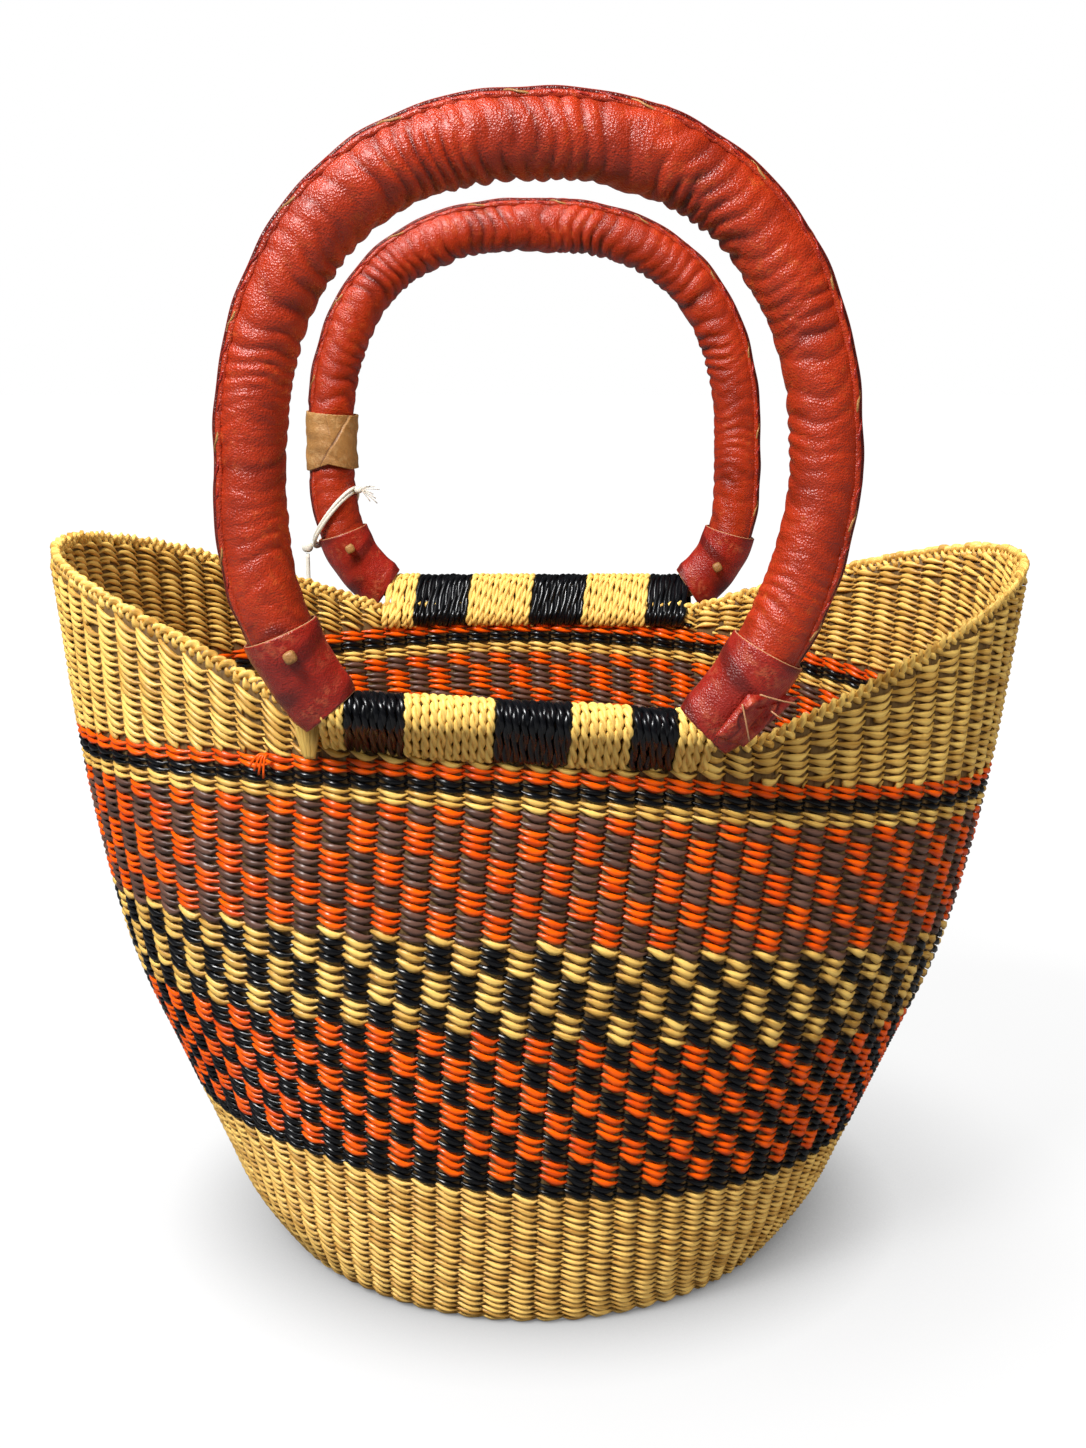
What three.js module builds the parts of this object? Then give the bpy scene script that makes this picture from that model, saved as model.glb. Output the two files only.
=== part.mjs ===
// A twined grass basket with an oval mouth, two raised ends and a pair of leather-covered
// carrying loops. Each loop is a closed ring of bundled grass; its straight foot is wrapped
// to the rim with grass, so the loop can tilt inwards and outwards about that foot.
// Millimetres, +Z up, +X along the mouth, -Y to the front. The origin is on the floor,
// under the middle of the basket.
import * as THREE from "three";

// Fit between pieces that lie on each other.
const GAP = 0.3;
const HALF_GAP = GAP / 2;

// The wall: a grass stake with a twining strand on each side of it.
const WALL = 5.2;
const WEAVE_RELIEF = 1.9;
const WEAVE_RIDGE_PITCH = 16;
const BASE_THICKNESS = 5;
const BASE_START_RADIUS = 16;
const FOOT_RADIUS = 104;
const MOUTH_HALF_LENGTH = 193;
const MOUTH_HALF_DEPTH = 130;
const MOUTH_SHIFT = 3;
const TIP_HEIGHT = 281;

// The wall's outline: heights as shares of the tip height, the half length and half depth
// there as shares of the way from the foot's radius to the mouth's, and how square it is.
const HEIGHT_shares = [0, 0.014, 0.08, 0.15, 0.21, 0.31, 0.43, 0.56, 0.73, 1];
const LENGTH_shares = [0, 0.07, 0.23, 0.33, 0.41, 0.54, 0.69, 0.79, 0.88, 1];
const DEPTH_shares = [0, 0.12, 0.31, 0.44, 0.54, 0.65, 0.75, 0.92, 1, 1];
const SQUARENESS = [2, 2, 2, 2, 2, 2.05, 2.15, 2.2, 2.25, 2.05];

// The rows are not level: they sag towards the two ends, and lean by hand.
const ROW_SAG = 15.5;
const ROW_LEAN = -7;
const ROW_TWIST = 4.9;
const ROW_BACK_RISE = 1.6;

// The rim: a braid of the turned-down stake ends, low under the grips and high at the ends.
const BRAID_RADIUS = 2.6;
const LEFT_TIP_RISE = 2;
const RIGHT_TIP_DROP = 3;
const DIP_END_share = 0.4;
const FRONT_LEFT_FULLNESS = 1.4;

// The grips: grass strands wound around a loop's foot bar and the rim under it.
const BAR_RADIUS = 4.2;
const BAR_HEIGHT = 242.5;
const BAR_OUTSIDE_MOUTH = 4;
const BAR_OFFSET = MOUTH_HALF_DEPTH + BAR_OUTSIDE_MOUTH;
const BAR_ABOVE_BRAID = 7.4;
const STRAND_WIDTH = 4.1;
const STRAND_THICKNESS = 1.7;
const STRAND_CLEARANCE = 0.7;
const TURN_PITCH = 5;
const BAND_SPACE = 0.7;

// Where each colour of weft ends at the middle of the front, as a share of the grips' height.
const COLOUR_TOP_shares = {
  foot: 0.2454, edge: 0.2701, check: 0.5134, paleCheck: 0.6701, columns: 0.8639,
  paleStripe: 0.8845, blackStripe: 0.9052, orangeStripe: 0.9258,
};
const FOOT_TOP = COLOUR_TOP_shares.foot * BAR_HEIGHT;
const EDGE_TOP = COLOUR_TOP_shares.edge * BAR_HEIGHT;
const CHECK_TOP = COLOUR_TOP_shares.check * BAR_HEIGHT;
const CHECK_PALE_TOP = COLOUR_TOP_shares.paleCheck * BAR_HEIGHT;
const COLUMNS_TOP = COLOUR_TOP_shares.columns * BAR_HEIGHT;
const PALE_STRIPE_TOP = COLOUR_TOP_shares.paleStripe * BAR_HEIGHT;
const BLACK_STRIPE_TOP = COLOUR_TOP_shares.blackStripe * BAR_HEIGHT;
const ORANGE_STRIPE_TOP = COLOUR_TOP_shares.orangeStripe * BAR_HEIGHT;

// The leather of both loops.
const LEATHER = 1.6;
const CUFF_LEATHER = 1.4;
const CUFF_HALF_WIDTH = 12.4;
const CUFF_HALF_DEPTH = 8.5;
const SEAM_WIDTH = 1.4;
const SEAM_HALF_THICKNESS = 2;

// The two carrying loops. Heights are above the foot bar; `middle` is where the loop's axis
// stands at its waist and `footShift` how far the foot bar lies to the side of that.
const FRONT = {
  name: "front", side: -1, slantDegrees: 3.2, middle: 2.5, footShift: -7,
  halfWidth: 91.7, waist: 80, rise: 185, roundness: 2.3, drop: 108, lowRoundness: 2,
  legRadius: 11.3, crownRadius: 13.5, gripStart: -62, firstBand: "black", turns: [4, 6, 5, 4, 3],
};
const BACK = {
  name: "back", side: 1, slantDegrees: 0, middle: -0.3, footShift: 2,
  halfWidth: 95.3, waist: 62, rise: 167.5, roundness: 2.5, drop: 75, lowRoundness: 3,
  legRadius: 10.5, crownRadius: 11.6, gripStart: -61, firstBand: "natural", turns: [1, 5, 6, 5, 6, 2],
};
const CUFF_TOP_ABOVE_BAR = 27;

// Where the stations inside a cuff lie, as shares of its height; the sleeve ends at the second.
const CUFF_shares = [0, 0.3, 0.53, 0.77, 1];

// Small pieces on the loops and under the grip.
const PEG_SIZE = 4.2;
const PEG_HEIGHT = 3;
const STRAP_LENGTH = 24;
const STRAP_WIDTH = 12;
const STRAP_THICKNESS = 2.6;
const PATCH_LOW = 57;
const PATCH_HIGH = 83;
const PATCH_LEATHER = 1.2;
const PATCH_REACH_DEGREES = 128;
const STRING_DIAMETER = 2;
const STRING_LOW = 26;
const STRING_HIGH = 43;
const KNOT_RADIUS = 3;
const TAIL_LENGTH = 32;
const GRASS_KNOT_X = -76;
const GRASS_KNOT_BELOW_BRAID = 8;
const GRASS_KNOT_RADIUS = 3;
const TUFT_X = -89;
const TUFT_BELOW_BRAID = 22;
const TUFT_LENGTH = 9;
const TUFT_RADIUS = 1.6;

// How finely each form is divided.
const AROUND = 60;
const LEG_SIDES = 10;
const ARCH_STEPS = 24;
const TURN_STEPS = 12;
const CORD_SIDES = 6;
const BRAID_SIDES = 6;
const PATCH_STEPS = 12;

const TAU = 2 * Math.PI;
const rad = THREE.MathUtils.degToRad;
const lerp = THREE.MathUtils.lerp;
const clamp = THREE.MathUtils.clamp;
const vec = (x, y, z) => new THREE.Vector3(x, y, z);

const COLOURS = {
  natural: [0xc9a25a, 0.62], foot: [0xc09a55, 0.65], black: [0x17191d, 0.5], orange: [0xe2500f, 0.5],
  brown: [0x6b4f48, 0.55], leather: [0xb23a22, 0.42], cuff: [0x8e1f22, 0.42], tan: [0xa9824e, 0.6],
  string: [0xdfd9c9, 0.8], grass: [0xb9944f, 0.7],
};

function material(name) {
  const [color, roughness] = COLOURS[name];
  return new THREE.MeshStandardMaterial({ color, roughness, metalness: 0 });
}

const basket = new THREE.Group();

function add(name, geometry, colour, group = basket) {
  const mesh = new THREE.Mesh(geometry, material(colour));
  mesh.name = name;
  group.add(mesh);
  return mesh;
}

// Six times the volume that triangles enclose; negative when they face inwards.
function signedVolume(points, index) {
  let sum = 0;
  for (let i = 0; i < index.length; i += 3) {
    const [a, b, c] = [points[index[i]], points[index[i + 1]], points[index[i + 2]]];
    sum += a.dot(b.clone().cross(c));
  }
  return sum;
}

// A closed body from rings of points. A ringed body joins its last ring to its first; any
// other is closed by a fan at each end.
function skin(rings, ringed) {
  const count = rings[0].length;
  const points = rings.flat();
  const index = [];
  const joins = ringed ? rings.length : rings.length - 1;
  for (let i = 0; i < joins; i++) {
    const near = i * count;
    const far = ((i + 1) % rings.length) * count;
    for (let j = 0; j < count; j++) {
      const k = (j + 1) % count;
      index.push(near + j, near + k, far + k, near + j, far + k, far + j);
    }
  }
  if (!ringed) {
    const first = points.length;
    for (const ring of [rings[0], rings.at(-1)])
      points.push(ring.reduce((sum, p) => sum.add(p), vec(0, 0, 0)).divideScalar(count));
    const last = (rings.length - 1) * count;
    for (let j = 0; j < count; j++) {
      const k = (j + 1) % count;
      index.push(first, k, j, first + 1, last + j, last + k);
    }
  }
  if (signedVolume(points, index) < 0) index.reverse();
  const geometry = new THREE.BufferGeometry().setFromPoints(points);
  geometry.setIndex(index);
  geometry.computeVertexNormals();
  return geometry;
}

// A smooth curve through the points (xs, ys), read at x.
function smoothAt(xs, ys, x) {
  const last = xs.length - 1;
  let i = 0;
  while (i < last - 1 && x > xs[i + 1]) i++;
  const slope = (k) => {
    const [before, after] = [Math.max(k - 1, 0), Math.min(k + 1, last)];
    return (ys[after] - ys[before]) / (xs[after] - xs[before]);
  };
  const width = xs[i + 1] - xs[i];
  const t = clamp((x - xs[i]) / width, 0, 1);
  const [t2, t3] = [t * t, t * t * t];
  return (2 * t3 - 3 * t2 + 1) * ys[i] + (t3 - 2 * t2 + t) * width * slope(i)
    + (3 * t2 - 2 * t3) * ys[i + 1] + (t3 - t2) * width * slope(i + 1);
}

// A unit superellipse: 2 is a circle, more is squarer.
function roundedUnit(angle, roundness) {
  const [c, s] = [Math.cos(angle), Math.sin(angle)];
  const stretch = (Math.abs(c) ** roundness + Math.abs(s) ** roundness) ** (-1 / roundness);
  return [c * stretch, s * stretch];
}

// A point of the basket's outer face, or of a face that far inside it.
function wallPoint(angle, height, inset = 0) {
  const share = height / TIP_HEIGHT;
  const halfLength = lerp(FOOT_RADIUS, MOUTH_HALF_LENGTH, smoothAt(HEIGHT_shares, LENGTH_shares, share));
  const halfDepth = lerp(FOOT_RADIUS, MOUTH_HALF_DEPTH, smoothAt(HEIGHT_shares, DEPTH_shares, share));
  const [x, y] = roundedUnit(angle, smoothAt(HEIGHT_shares, SQUARENESS, share));
  return vec(MOUTH_SHIFT * share + x * (halfLength - inset), y * (halfDepth - inset), height);
}

// The height around the basket of the row that is this high at the front's middle.
function rowHeight(angle, frontHeight) {
  const [c, s] = [Math.cos(angle), Math.sin(angle)];
  const grown = clamp(frontHeight / FOOT_TOP, 0, 1);
  const sagging = THREE.MathUtils.smoothstep(frontHeight, FOOT_TOP, CHECK_TOP);
  const leaning = ROW_LEAN * c + ROW_TWIST * s * c;
  return frontHeight - ROW_SAG * sagging * c * c + grown * leaning + ROW_BACK_RISE * sagging * (s + 1);
}

const angleOf = (step) => (step / AROUND) * TAU;
const isFront = (angle) => Math.sin(angle) < 0;

// The height of a loop's foot bar at x.
function barHeight(loop, x) {
  return BAR_HEIGHT - Math.tan(rad(loop.slantDegrees)) * (x - loop.middle);
}

// The height of the braid's middle: straight under the grips, climbing to the two ends.
function braidHeight(angle) {
  const [c, s] = [Math.cos(angle), Math.sin(angle)];
  const loop = isFront(angle) ? FRONT : BACK;
  const climb = Math.max(0, (Math.abs(c) - DIP_END_share) / (1 - DIP_END_share));
  const fullness = s < 0 && c < 0 ? FRONT_LEFT_FULLNESS : 1;
  const wing = climb * (fullness - (fullness - 1) * climb);
  const x = wallPoint(angle, BAR_HEIGHT).x;
  const dip = lerp(barHeight(loop, x), BAR_HEIGHT, climb) - BAR_ABOVE_BRAID;
  const tip = TIP_HEIGHT + (c < 0 ? LEFT_TIP_RISE : -RIGHT_TIP_DROP);
  return lerp(dip, tip, wing);
}

function braidCentre(step) {
  const angle = angleOf(step);
  return wallPoint(angle, braidHeight(angle), WALL / 2);
}

// The wall's top edge lies under the braid, and lower still under the wound grips.
function wallTop(step) {
  const angle = angleOf(step);
  const run = braidCentre(step + 1).sub(braidCentre(step - 1));
  const steepness = run.length() / Math.hypot(run.x, run.y);
  const wound = Math.abs(Math.cos(angle)) < DIP_END_share + 0.02 ? STRAND_CLEARANCE + STRAND_THICKNESS : 0;
  return braidHeight(angle) - (BRAID_RADIUS + GAP) * steepness - wound;
}

// A run of weft around the wall, between two edges given as heights by step. Its rows show as
// ridges on the outer face. The faces are lists of [share of the height, inset there].
function weftBand(low, high, outer) {
  const inner = (outer.length > 2 ? [1, MIDDLE_share, 0] : [1, 0]).map((share) => [share, WALL]);
  const level = (step, share) => lerp(low(step) + HALF_GAP, high(step) - HALF_GAP, share);
  const ring = ([share, inset]) =>
    Array.from({ length: AROUND }, (_, step) => wallPoint(angleOf(step), level(step, share), inset));
  return skin([...outer, ...inner].map(ring), true);
}

// A face of ridges with a valley along both edges, or a plain one where the run is narrow.
function ridged(height, start = 0) {
  const steps = 2 * Math.round(height / WEAVE_RIDGE_PITCH);
  if (!steps) return [[0, 0], [1, 0]];
  return Array.from({ length: steps + 1 }, (_, i) => [lerp(start, 1, i / steps), i % 2 ? 0 : WEAVE_RELIEF]);
}

const rowEdge = (height) => (step) => rowHeight(angleOf(step), height);
const floorEdge = () => -HALF_GAP;
const FOOT_ROUNDING_shares = [0, 0.05];
const FOOT_RIDGES_share = 0.17;
const MIDDLE_share = 0.45;

// The colours of weft above the foot, from the lowest up.
const BANDS = [
  ["black_edge_band", "black"], ["orange_black_band", "orange"], ["natural_black_band", "natural"],
  ["orange_brown_band", "brown"], ["natural_stripe", "natural"], ["black_stripe", "black"],
  ["orange_stripe", "orange"],
];

function buildBody() {
  const startEdge = [[BASE_START_RADIUS, 0], [BASE_START_RADIUS, BASE_THICKNESS]];
  const startProfile = [[0, 0], ...startEdge, [0, BASE_THICKNESS]];
  add("base_start", lathe(startProfile), "grass");
  const hole = BASE_START_RADIUS + GAP;
  const edge = FOOT_RADIUS - WALL - GAP;
  const baseProfile = [[hole, 0], [edge, 0], [edge, BASE_THICKNESS], [hole, BASE_THICKNESS], [hole, 0]];
  add("woven_base", lathe(baseProfile), "foot");
  const lowEdges = [FOOT_TOP, EDGE_TOP, CHECK_TOP, CHECK_PALE_TOP, COLUMNS_TOP];
  const edges = [...lowEdges, PALE_STRIPE_TOP, BLACK_STRIPE_TOP, ORANGE_STRIPE_TOP];
  const rounding = FOOT_ROUNDING_shares.map((share) => [share, 0]);
  const footFace = [...rounding, ...ridged(FOOT_TOP - FOOT_RIDGES_share * FOOT_TOP, FOOT_RIDGES_share)];
  add("natural_foot_band", weftBand(floorEdge, rowEdge(FOOT_TOP), footFace), "foot");
  BANDS.forEach(([name, colour], i) => {
    const [low, high] = [edges[i], edges[i + 1]];
    add(name, weftBand(rowEdge(low), rowEdge(high), ridged(high - low)), colour);
  });
  const top = (step) => wallTop(step) + HALF_GAP;
  const upperFace = ridged(TIP_HEIGHT - BAR_HEIGHT);
  add("natural_upper_wall", weftBand(rowEdge(ORANGE_STRIPE_TOP), top, upperFace), "natural");
  add("rim_braid", braid(), "natural");
}

function lathe(profile) {
  const points = profile.map(([r, z]) => new THREE.Vector2(r, z));
  return new THREE.LatheGeometry(points, AROUND / 2).rotateX(Math.PI / 2);
}

// The braid: a round cord of six faces along the rim.
function braid() {
  const centres = Array.from({ length: AROUND }, (_, step) => braidCentre(step));
  const rings = centres.map((centre, i) => {
    const along = centres[(i + 1) % AROUND].clone().sub(centres.at(i - 1)).normalize();
    const side = vec(along.y, -along.x, 0).normalize();
    const up = side.clone().cross(along).negate();
    return circle(BRAID_SIDES).map(([a, b]) =>
      centre.clone().addScaledVector(side, a * BRAID_RADIUS).addScaledVector(up, b * BRAID_RADIUS));
  });
  return skin(rings, true);
}

function circle(sides, turn = 0.5) {
  return Array.from({ length: sides }, (_, i) => {
    const a = ((i + turn) / sides) * TAU;
    return [Math.cos(a), Math.sin(a)];
  });
}

// A point of a loop's middle line in its own plane: x across, z up.
function archPoint(loop, angle) {
  const high = Math.sin(angle) > 0;
  const [ux, uz] = roundedUnit(angle, high ? loop.roundness : loop.lowRoundness);
  const height = loop.waist + uz * (high ? loop.rise - loop.waist : loop.drop);
  const low = clamp(1 - height / loop.waist, 0, 1);
  const x = loop.middle + loop.halfWidth * ux + loop.footShift * low;
  return vec(x, loop.side * BAR_OFFSET, lerp(BAR_HEIGHT, barHeight(loop, x), low) + height);
}

// The angle, below the waist, at which a loop's middle line is that high above its foot bar.
function angleAt(loop, height) {
  const below = (loop.waist - height) / loop.drop;
  const across = (1 - below ** loop.lowRoundness) ** (1 / loop.lowRoundness);
  return -Math.atan2(below, across);
}

// A place on a loop: its middle, the way on, and the way outwards in the loop's plane.
function stationAt(loop, angle) {
  const along = archPoint(loop, angle + rad(1)).sub(archPoint(loop, angle - rad(1))).normalize();
  const out = vec(along.z, 0, -along.x);
  return { centre: archPoint(loop, angle), out, along, crown: Math.max(0, Math.sin(angle)) };
}

// Stations inside one cuff, from its lower edge up.
function cuffLine(loop, right) {
  return CUFF_shares.map((share) => {
    const angle = angleAt(loop, share * CUFF_TOP_ABOVE_BAR);
    return stationAt(loop, right ? angle : Math.PI - angle);
  });
}

// All the stations of a loop, from its right foot over the crown to its left foot.
function wholeLine(loop) {
  const start = angleAt(loop, CUFF_TOP_ABOVE_BAR);
  const arch = Array.from({ length: ARCH_STEPS - 1 }, (_, i) =>
    stationAt(loop, lerp(start, Math.PI - start, (i + 1) / ARCH_STEPS)));
  return [...cuffLine(loop, true), ...arch, ...cuffLine(loop, false).reverse()];
}

const DEPTHWAYS = vec(0, -1, 0);

// A flat outline [outwards, towards the front] set at a station.
function placed(station, outline) {
  return outline.map(([a, b]) =>
    station.centre.clone().addScaledVector(station.out, a).addScaledVector(DEPTHWAYS, b));
}

function oval(halfWidth, halfDepth, sides = LEG_SIDES) {
  return circle(sides).map(([a, b]) => [a * halfWidth, b * halfDepth]);
}

// How far a station has widened from the flattened end in the cuff to the full round leg.
function fullness(loop, station) {
  const height = station.centre.z - barHeight(loop, station.centre.x);
  return THREE.MathUtils.smoothstep(height, 0, CUFF_TOP_ABOVE_BAR);
}

function sleeveRadii(loop, station) {
  const radius = lerp(loop.legRadius, loop.crownRadius, station.crown ** 2);
  const full = fullness(loop, station);
  const [endWidth, endDepth] = [CUFF_HALF_WIDTH, CUFF_HALF_DEPTH].map((r) => r - CUFF_LEATHER - 2 * GAP);
  return [Math.min(radius, lerp(endWidth, radius, full)), Math.min(radius, lerp(endDepth, radius, full))];
}

// The stitched seam starts above the cuff.
function seamGrowth(loop, station) {
  const height = station.centre.z - barHeight(loop, station.centre.x);
  return THREE.MathUtils.smoothstep(height, CUFF_TOP_ABOVE_BAR + 4 * CUFF_LEATHER, 1.5 * CUFF_TOP_ABOVE_BAR);
}

// The leather tube with its stitched seam standing out along the loop's outer side.
function sleeve(loop) {
  const line = wholeLine(loop).slice(1, -1);
  const outer = line.map((station) => {
    const [width, depth] = sleeveRadii(loop, station);
    const seam = width + SEAM_WIDTH * seamGrowth(loop, station);
    const welt = [[seam, -SEAM_HALF_THICKNESS], [seam, SEAM_HALF_THICKNESS]];
    return placed(station, [...welt, ...oval(width, depth)]);
  });
  const inner = line.map((station) => {
    const [width, depth] = sleeveRadii(loop, station).map((r) => r - LEATHER);
    const side = [-1, 1].map((way) => [width, (way * SEAM_HALF_THICKNESS) / 2]);
    return placed(station, [...side, ...oval(width, depth)]);
  });
  return skin([...outer, ...inner.reverse()], true);
}

// The bundled grass inside: one closed ring through the leather and the wound grip.
function core(loop) {
  const line = wholeLine(loop);
  const arch = line.map((station) => {
    const [width, depth] = sleeveRadii(loop, station).map((r) => r - LEATHER - 2 * GAP);
    const height = station.centre.z - barHeight(loop, station.centre.x);
    const grown = THREE.MathUtils.smoothstep(height, 0, CUFF_shares[1] * CUFF_TOP_ABOVE_BAR - GAP);
    return placed(station, oval(lerp(BAR_RADIUS, width, grown), lerp(BAR_RADIUS, depth, grown)));
  });
  const [left, right] = [line.at(-1).centre, line[0].centre];
  const slope = right.clone().sub(left).normalize();
  const out = vec(slope.z, 0, -slope.x);
  const bar = [0.06, 0.25, 0.5, 0.75, 0.94].map((share) =>
    placed({ centre: left.clone().lerp(right, share), out }, oval(BAR_RADIUS, BAR_RADIUS)));
  return skin([...arch, ...bar], true);
}

// A leather cuff over one end of the sleeve.
function cuff(loop, right) {
  const line = cuffLine(loop, right);
  const shell = (inset) => line.map((station) => {
    const [width, depth] = sleeveRadii(loop, station).map((r) => r + 2 * GAP + CUFF_LEATHER - inset);
    return placed(station, oval(width, depth));
  });
  return skin([...shell(0), ...shell(CUFF_LEATHER).reverse()], true);
}

// A small block on the cuff's front face, its length across the loop.
function block(loop, right, height, acrossShare, [length, width, thickness], turn) {
  const at = (above) => stationAt(loop, right ? angleAt(loop, above) : Math.PI - angleAt(loop, above));
  const station = at(height);
  const { along } = station;
  const halfWidth = sleeveRadii(loop, station)[0];
  const depth = sleeveRadii(loop, at(height + width / 2))[1] + 3 * GAP + CUFF_LEATHER;
  const middle = station.centre.clone().addScaledVector(station.out, acrossShare * halfWidth);
  const [c, s] = [Math.cos(rad(turn)), Math.sin(rad(turn))];
  const corners = [[1, 1], [-1, 1], [-1, -1], [1, -1]];
  const level = (lift) => corners.map(([a, b]) => {
    const [u, v] = [(a * length) / 2, (b * width) / 2];
    return middle.clone().addScaledVector(station.out, u * c - v * s).addScaledVector(along, u * s + v * c)
      .addScaledVector(DEPTHWAYS, depth + lift);
  });
  return skin([level(0), level(thickness)], false);
}

// Where the braid passes x on the loop's side of the basket.
function braidMiddleAt(loop, x) {
  let angle = loop.side * Math.acos(clamp((x - MOUTH_SHIFT) / MOUTH_HALF_LENGTH, -1, 1));
  for (const _ of [1, 2, 3, 4, 5, 6]) {
    const miss = wallPoint(angle, braidHeight(angle), WALL / 2).x - x;
    angle += (loop.side * miss) / MOUTH_HALF_LENGTH;
  }
  return wallPoint(angle, braidHeight(angle), WALL / 2);
}

// A strand's middle and the way out from it, after that many turns around bar and braid.
function strandAt(loop, turn) {
  const x = loop.gripStart + STRAND_WIDTH / 2 + TURN_PITCH * turn;
  const bar = vec(x, loop.side * BAR_OFFSET, barHeight(loop, x));
  const braidMiddle = braidMiddleAt(loop, x);
  const up = bar.clone().sub(braidMiddle);
  const half = up.length() / 2;
  up.normalize();
  const side = vec(0, -up.z, up.y).multiplyScalar(loop.side);
  const [c, s] = [-Math.cos(turn * TAU), Math.sin(turn * TAU)];
  const radius = (c < 0 ? BRAID_RADIUS : BAR_RADIUS) + STRAND_CLEARANCE + STRAND_THICKNESS / 2;
  const middle = bar.lerp(braidMiddle, 0.5).addScaledVector(up, half * Math.sign(c));
  const centre = middle.addScaledVector(up, radius * c).addScaledVector(side, radius * s);
  return { centre, out: up.clone().multiplyScalar(c).addScaledVector(side, s) };
}

const SMALL_TURN = 0.01;

function strandSection(loop, turn) {
  const { centre, out } = strandAt(loop, turn);
  const next = strandAt(loop, turn + SMALL_TURN).centre;
  const ahead = next.sub(strandAt(loop, turn - SMALL_TURN).centre).normalize();
  const across = out.clone().cross(ahead).normalize();
  const flat = [[1, 1], [-1, 1], [-1, -1], [1, -1]];
  return flat.map(([a, b]) => centre.clone()
    .addScaledVector(across, (a * STRAND_WIDTH) / 2).addScaledVector(out, (b * STRAND_THICKNESS) / 2));
}

// The least distance between a winding's own neighbouring turns, taken over their points.
function leastGap(sections) {
  let least = Infinity;
  for (let i = 0; i < sections.length; i++)
    for (let j = i + TURN_STEPS - 2; j < sections.length; j++)
      for (const p of sections[i])
        for (const q of sections[j]) least = Math.min(least, p.distanceTo(q));
  return least;
}

// A grip: the strand runs on from colour to colour, parted a little where the colour changes.
function buildGrip(loop, group) {
  let first = 0;
  let colour = loop.firstBand;
  loop.turns.forEach((turns, i) => {
    const steps = turns * TURN_STEPS;
    const parting = BAND_SPACE / (4 * TAU * BAR_RADIUS);
    const stops = Array.from({ length: steps }, (_, k) => (k + 0.5) / TURN_STEPS);
    const sections = [parting, ...stops, turns - parting].map((turn) => strandSection(loop, first + turn));
    const name = `${loop.name}_grip_${colour}_winding_${i + 1}`;
    add(name, skin(sections, false), colour, group);
    if (turns > 1) console.log(`${name}: least gap ${leastGap(sections).toFixed(2)}`);
    first += turns;
    colour = colour === "black" ? "natural" : "black";
  });
}

// The patch of tan leather around the inner side of one leg, made of oblongs up its height.
function patch(loop) {
  const ends = [PATCH_LOW, PATCH_HIGH].map((height) => stationAt(loop, angleOnLeft(loop, height)));
  const middle = stationAt(loop, angleOnLeft(loop, (PATCH_LOW + PATCH_HIGH) / 2));
  const [inside, outside] = [loop.legRadius + 2 * GAP, loop.legRadius + 2 * GAP + PATCH_LEATHER];
  const oblongs = Array.from({ length: PATCH_STEPS + 1 }, (_, i) => {
    const a = Math.PI + lerp(-rad(PATCH_REACH_DEGREES), rad(PATCH_REACH_DEGREES), i / PATCH_STEPS);
    const at = (station, r) => placed(station, [[r * Math.cos(a), r * Math.sin(a)]])[0];
    const up = [ends[0], middle, ends[1]];
    return [...up.map((station) => at(station, outside)), ...up.toReversed().map((station) => at(station, inside))];
  });
  return skin(oblongs, false);
}

// The angle of the left leg's middle line at a height above the foot bar.
function angleOnLeft(loop, height) {
  let [low, high] = [Math.PI / 2, Math.PI - angleAt(loop, 0)];
  for (let i = 0; i < 30; i++) {
    const middle = (low + high) / 2;
    const point = archPoint(loop, middle);
    if (point.z - barHeight(loop, point.x) > height) low = middle;
    else high = middle;
  }
  return low;
}

// A round cord along points.
function cord(points, radius, ringed = false, sides = CORD_SIDES) {
  const rings = points.map((point, i) => {
    const next = points[ringed ? (i + 1) % points.length : Math.min(i + 1, points.length - 1)];
    const before = points[ringed ? (i + points.length - 1) % points.length : Math.max(i - 1, 0)];
    const along = next.clone().sub(before).normalize();
    const side = along.clone().cross(vec(0.3, -1, 0.2)).normalize();
    const up = along.clone().cross(side);
    return circle(sides).map(([a, b]) =>
      point.clone().addScaledVector(side, a * radius).addScaledVector(up, b * radius));
  });
  return skin(rings, ringed);
}

function ball(centre, radius, height = radius) {
  const geometry = new THREE.SphereGeometry(radius, 10, 6).rotateX(Math.PI / 2).scale(1, 1, height / radius);
  return geometry.translate(centre.x, centre.y, centre.z);
}

// The cotton string tied around the back loop's left leg, its knot and its loose end.
function buildString(loop, group) {
  const low = stationAt(loop, angleOnLeft(loop, STRING_LOW));
  const high = stationAt(loop, angleOnLeft(loop, STRING_HIGH));
  const middle = low.centre.clone().lerp(high.centre, 0.5);
  const radius = STRING_DIAMETER / 2;
  const across = high.centre.clone().sub(low.centre);
  const depth = loop.legRadius + 3 * GAP + radius;
  const width = depth + SEAM_WIDTH / 2 + GAP;
  const points = Array.from({ length: 24 }, (_, i) => {
    const a = (i / 24) * TAU;
    return middle.clone().addScaledVector(low.out, width * Math.cos(a) + SEAM_WIDTH / 2)
      .addScaledVector(DEPTHWAYS, depth * Math.sin(a)).addScaledVector(across, -Math.cos(a) / 2);
  });
  add("string_loop", cord(points, radius, true), "string", group);
  const knot = points[0].clone().addScaledVector(low.out, radius + KNOT_RADIUS + GAP);
  add("string_knot", ball(knot, KNOT_RADIUS), "string", group);
  const end = knot.clone().add(vec(0, 0, -KNOT_RADIUS - GAP));
  const steps = 6;
  const hanging = Array.from({ length: steps + 1 }, (_, i) => end.clone().add(vec(0, 0, -(TAIL_LENGTH * i) / steps)));
  add("string_tail", cord(hanging, radius), "string", group);
}

const CUFF_BITS = { peg: [PEG_SIZE, PEG_SIZE, PEG_HEIGHT], strap: [STRAP_LENGTH, STRAP_WIDTH, STRAP_THICKNESS] };

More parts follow.
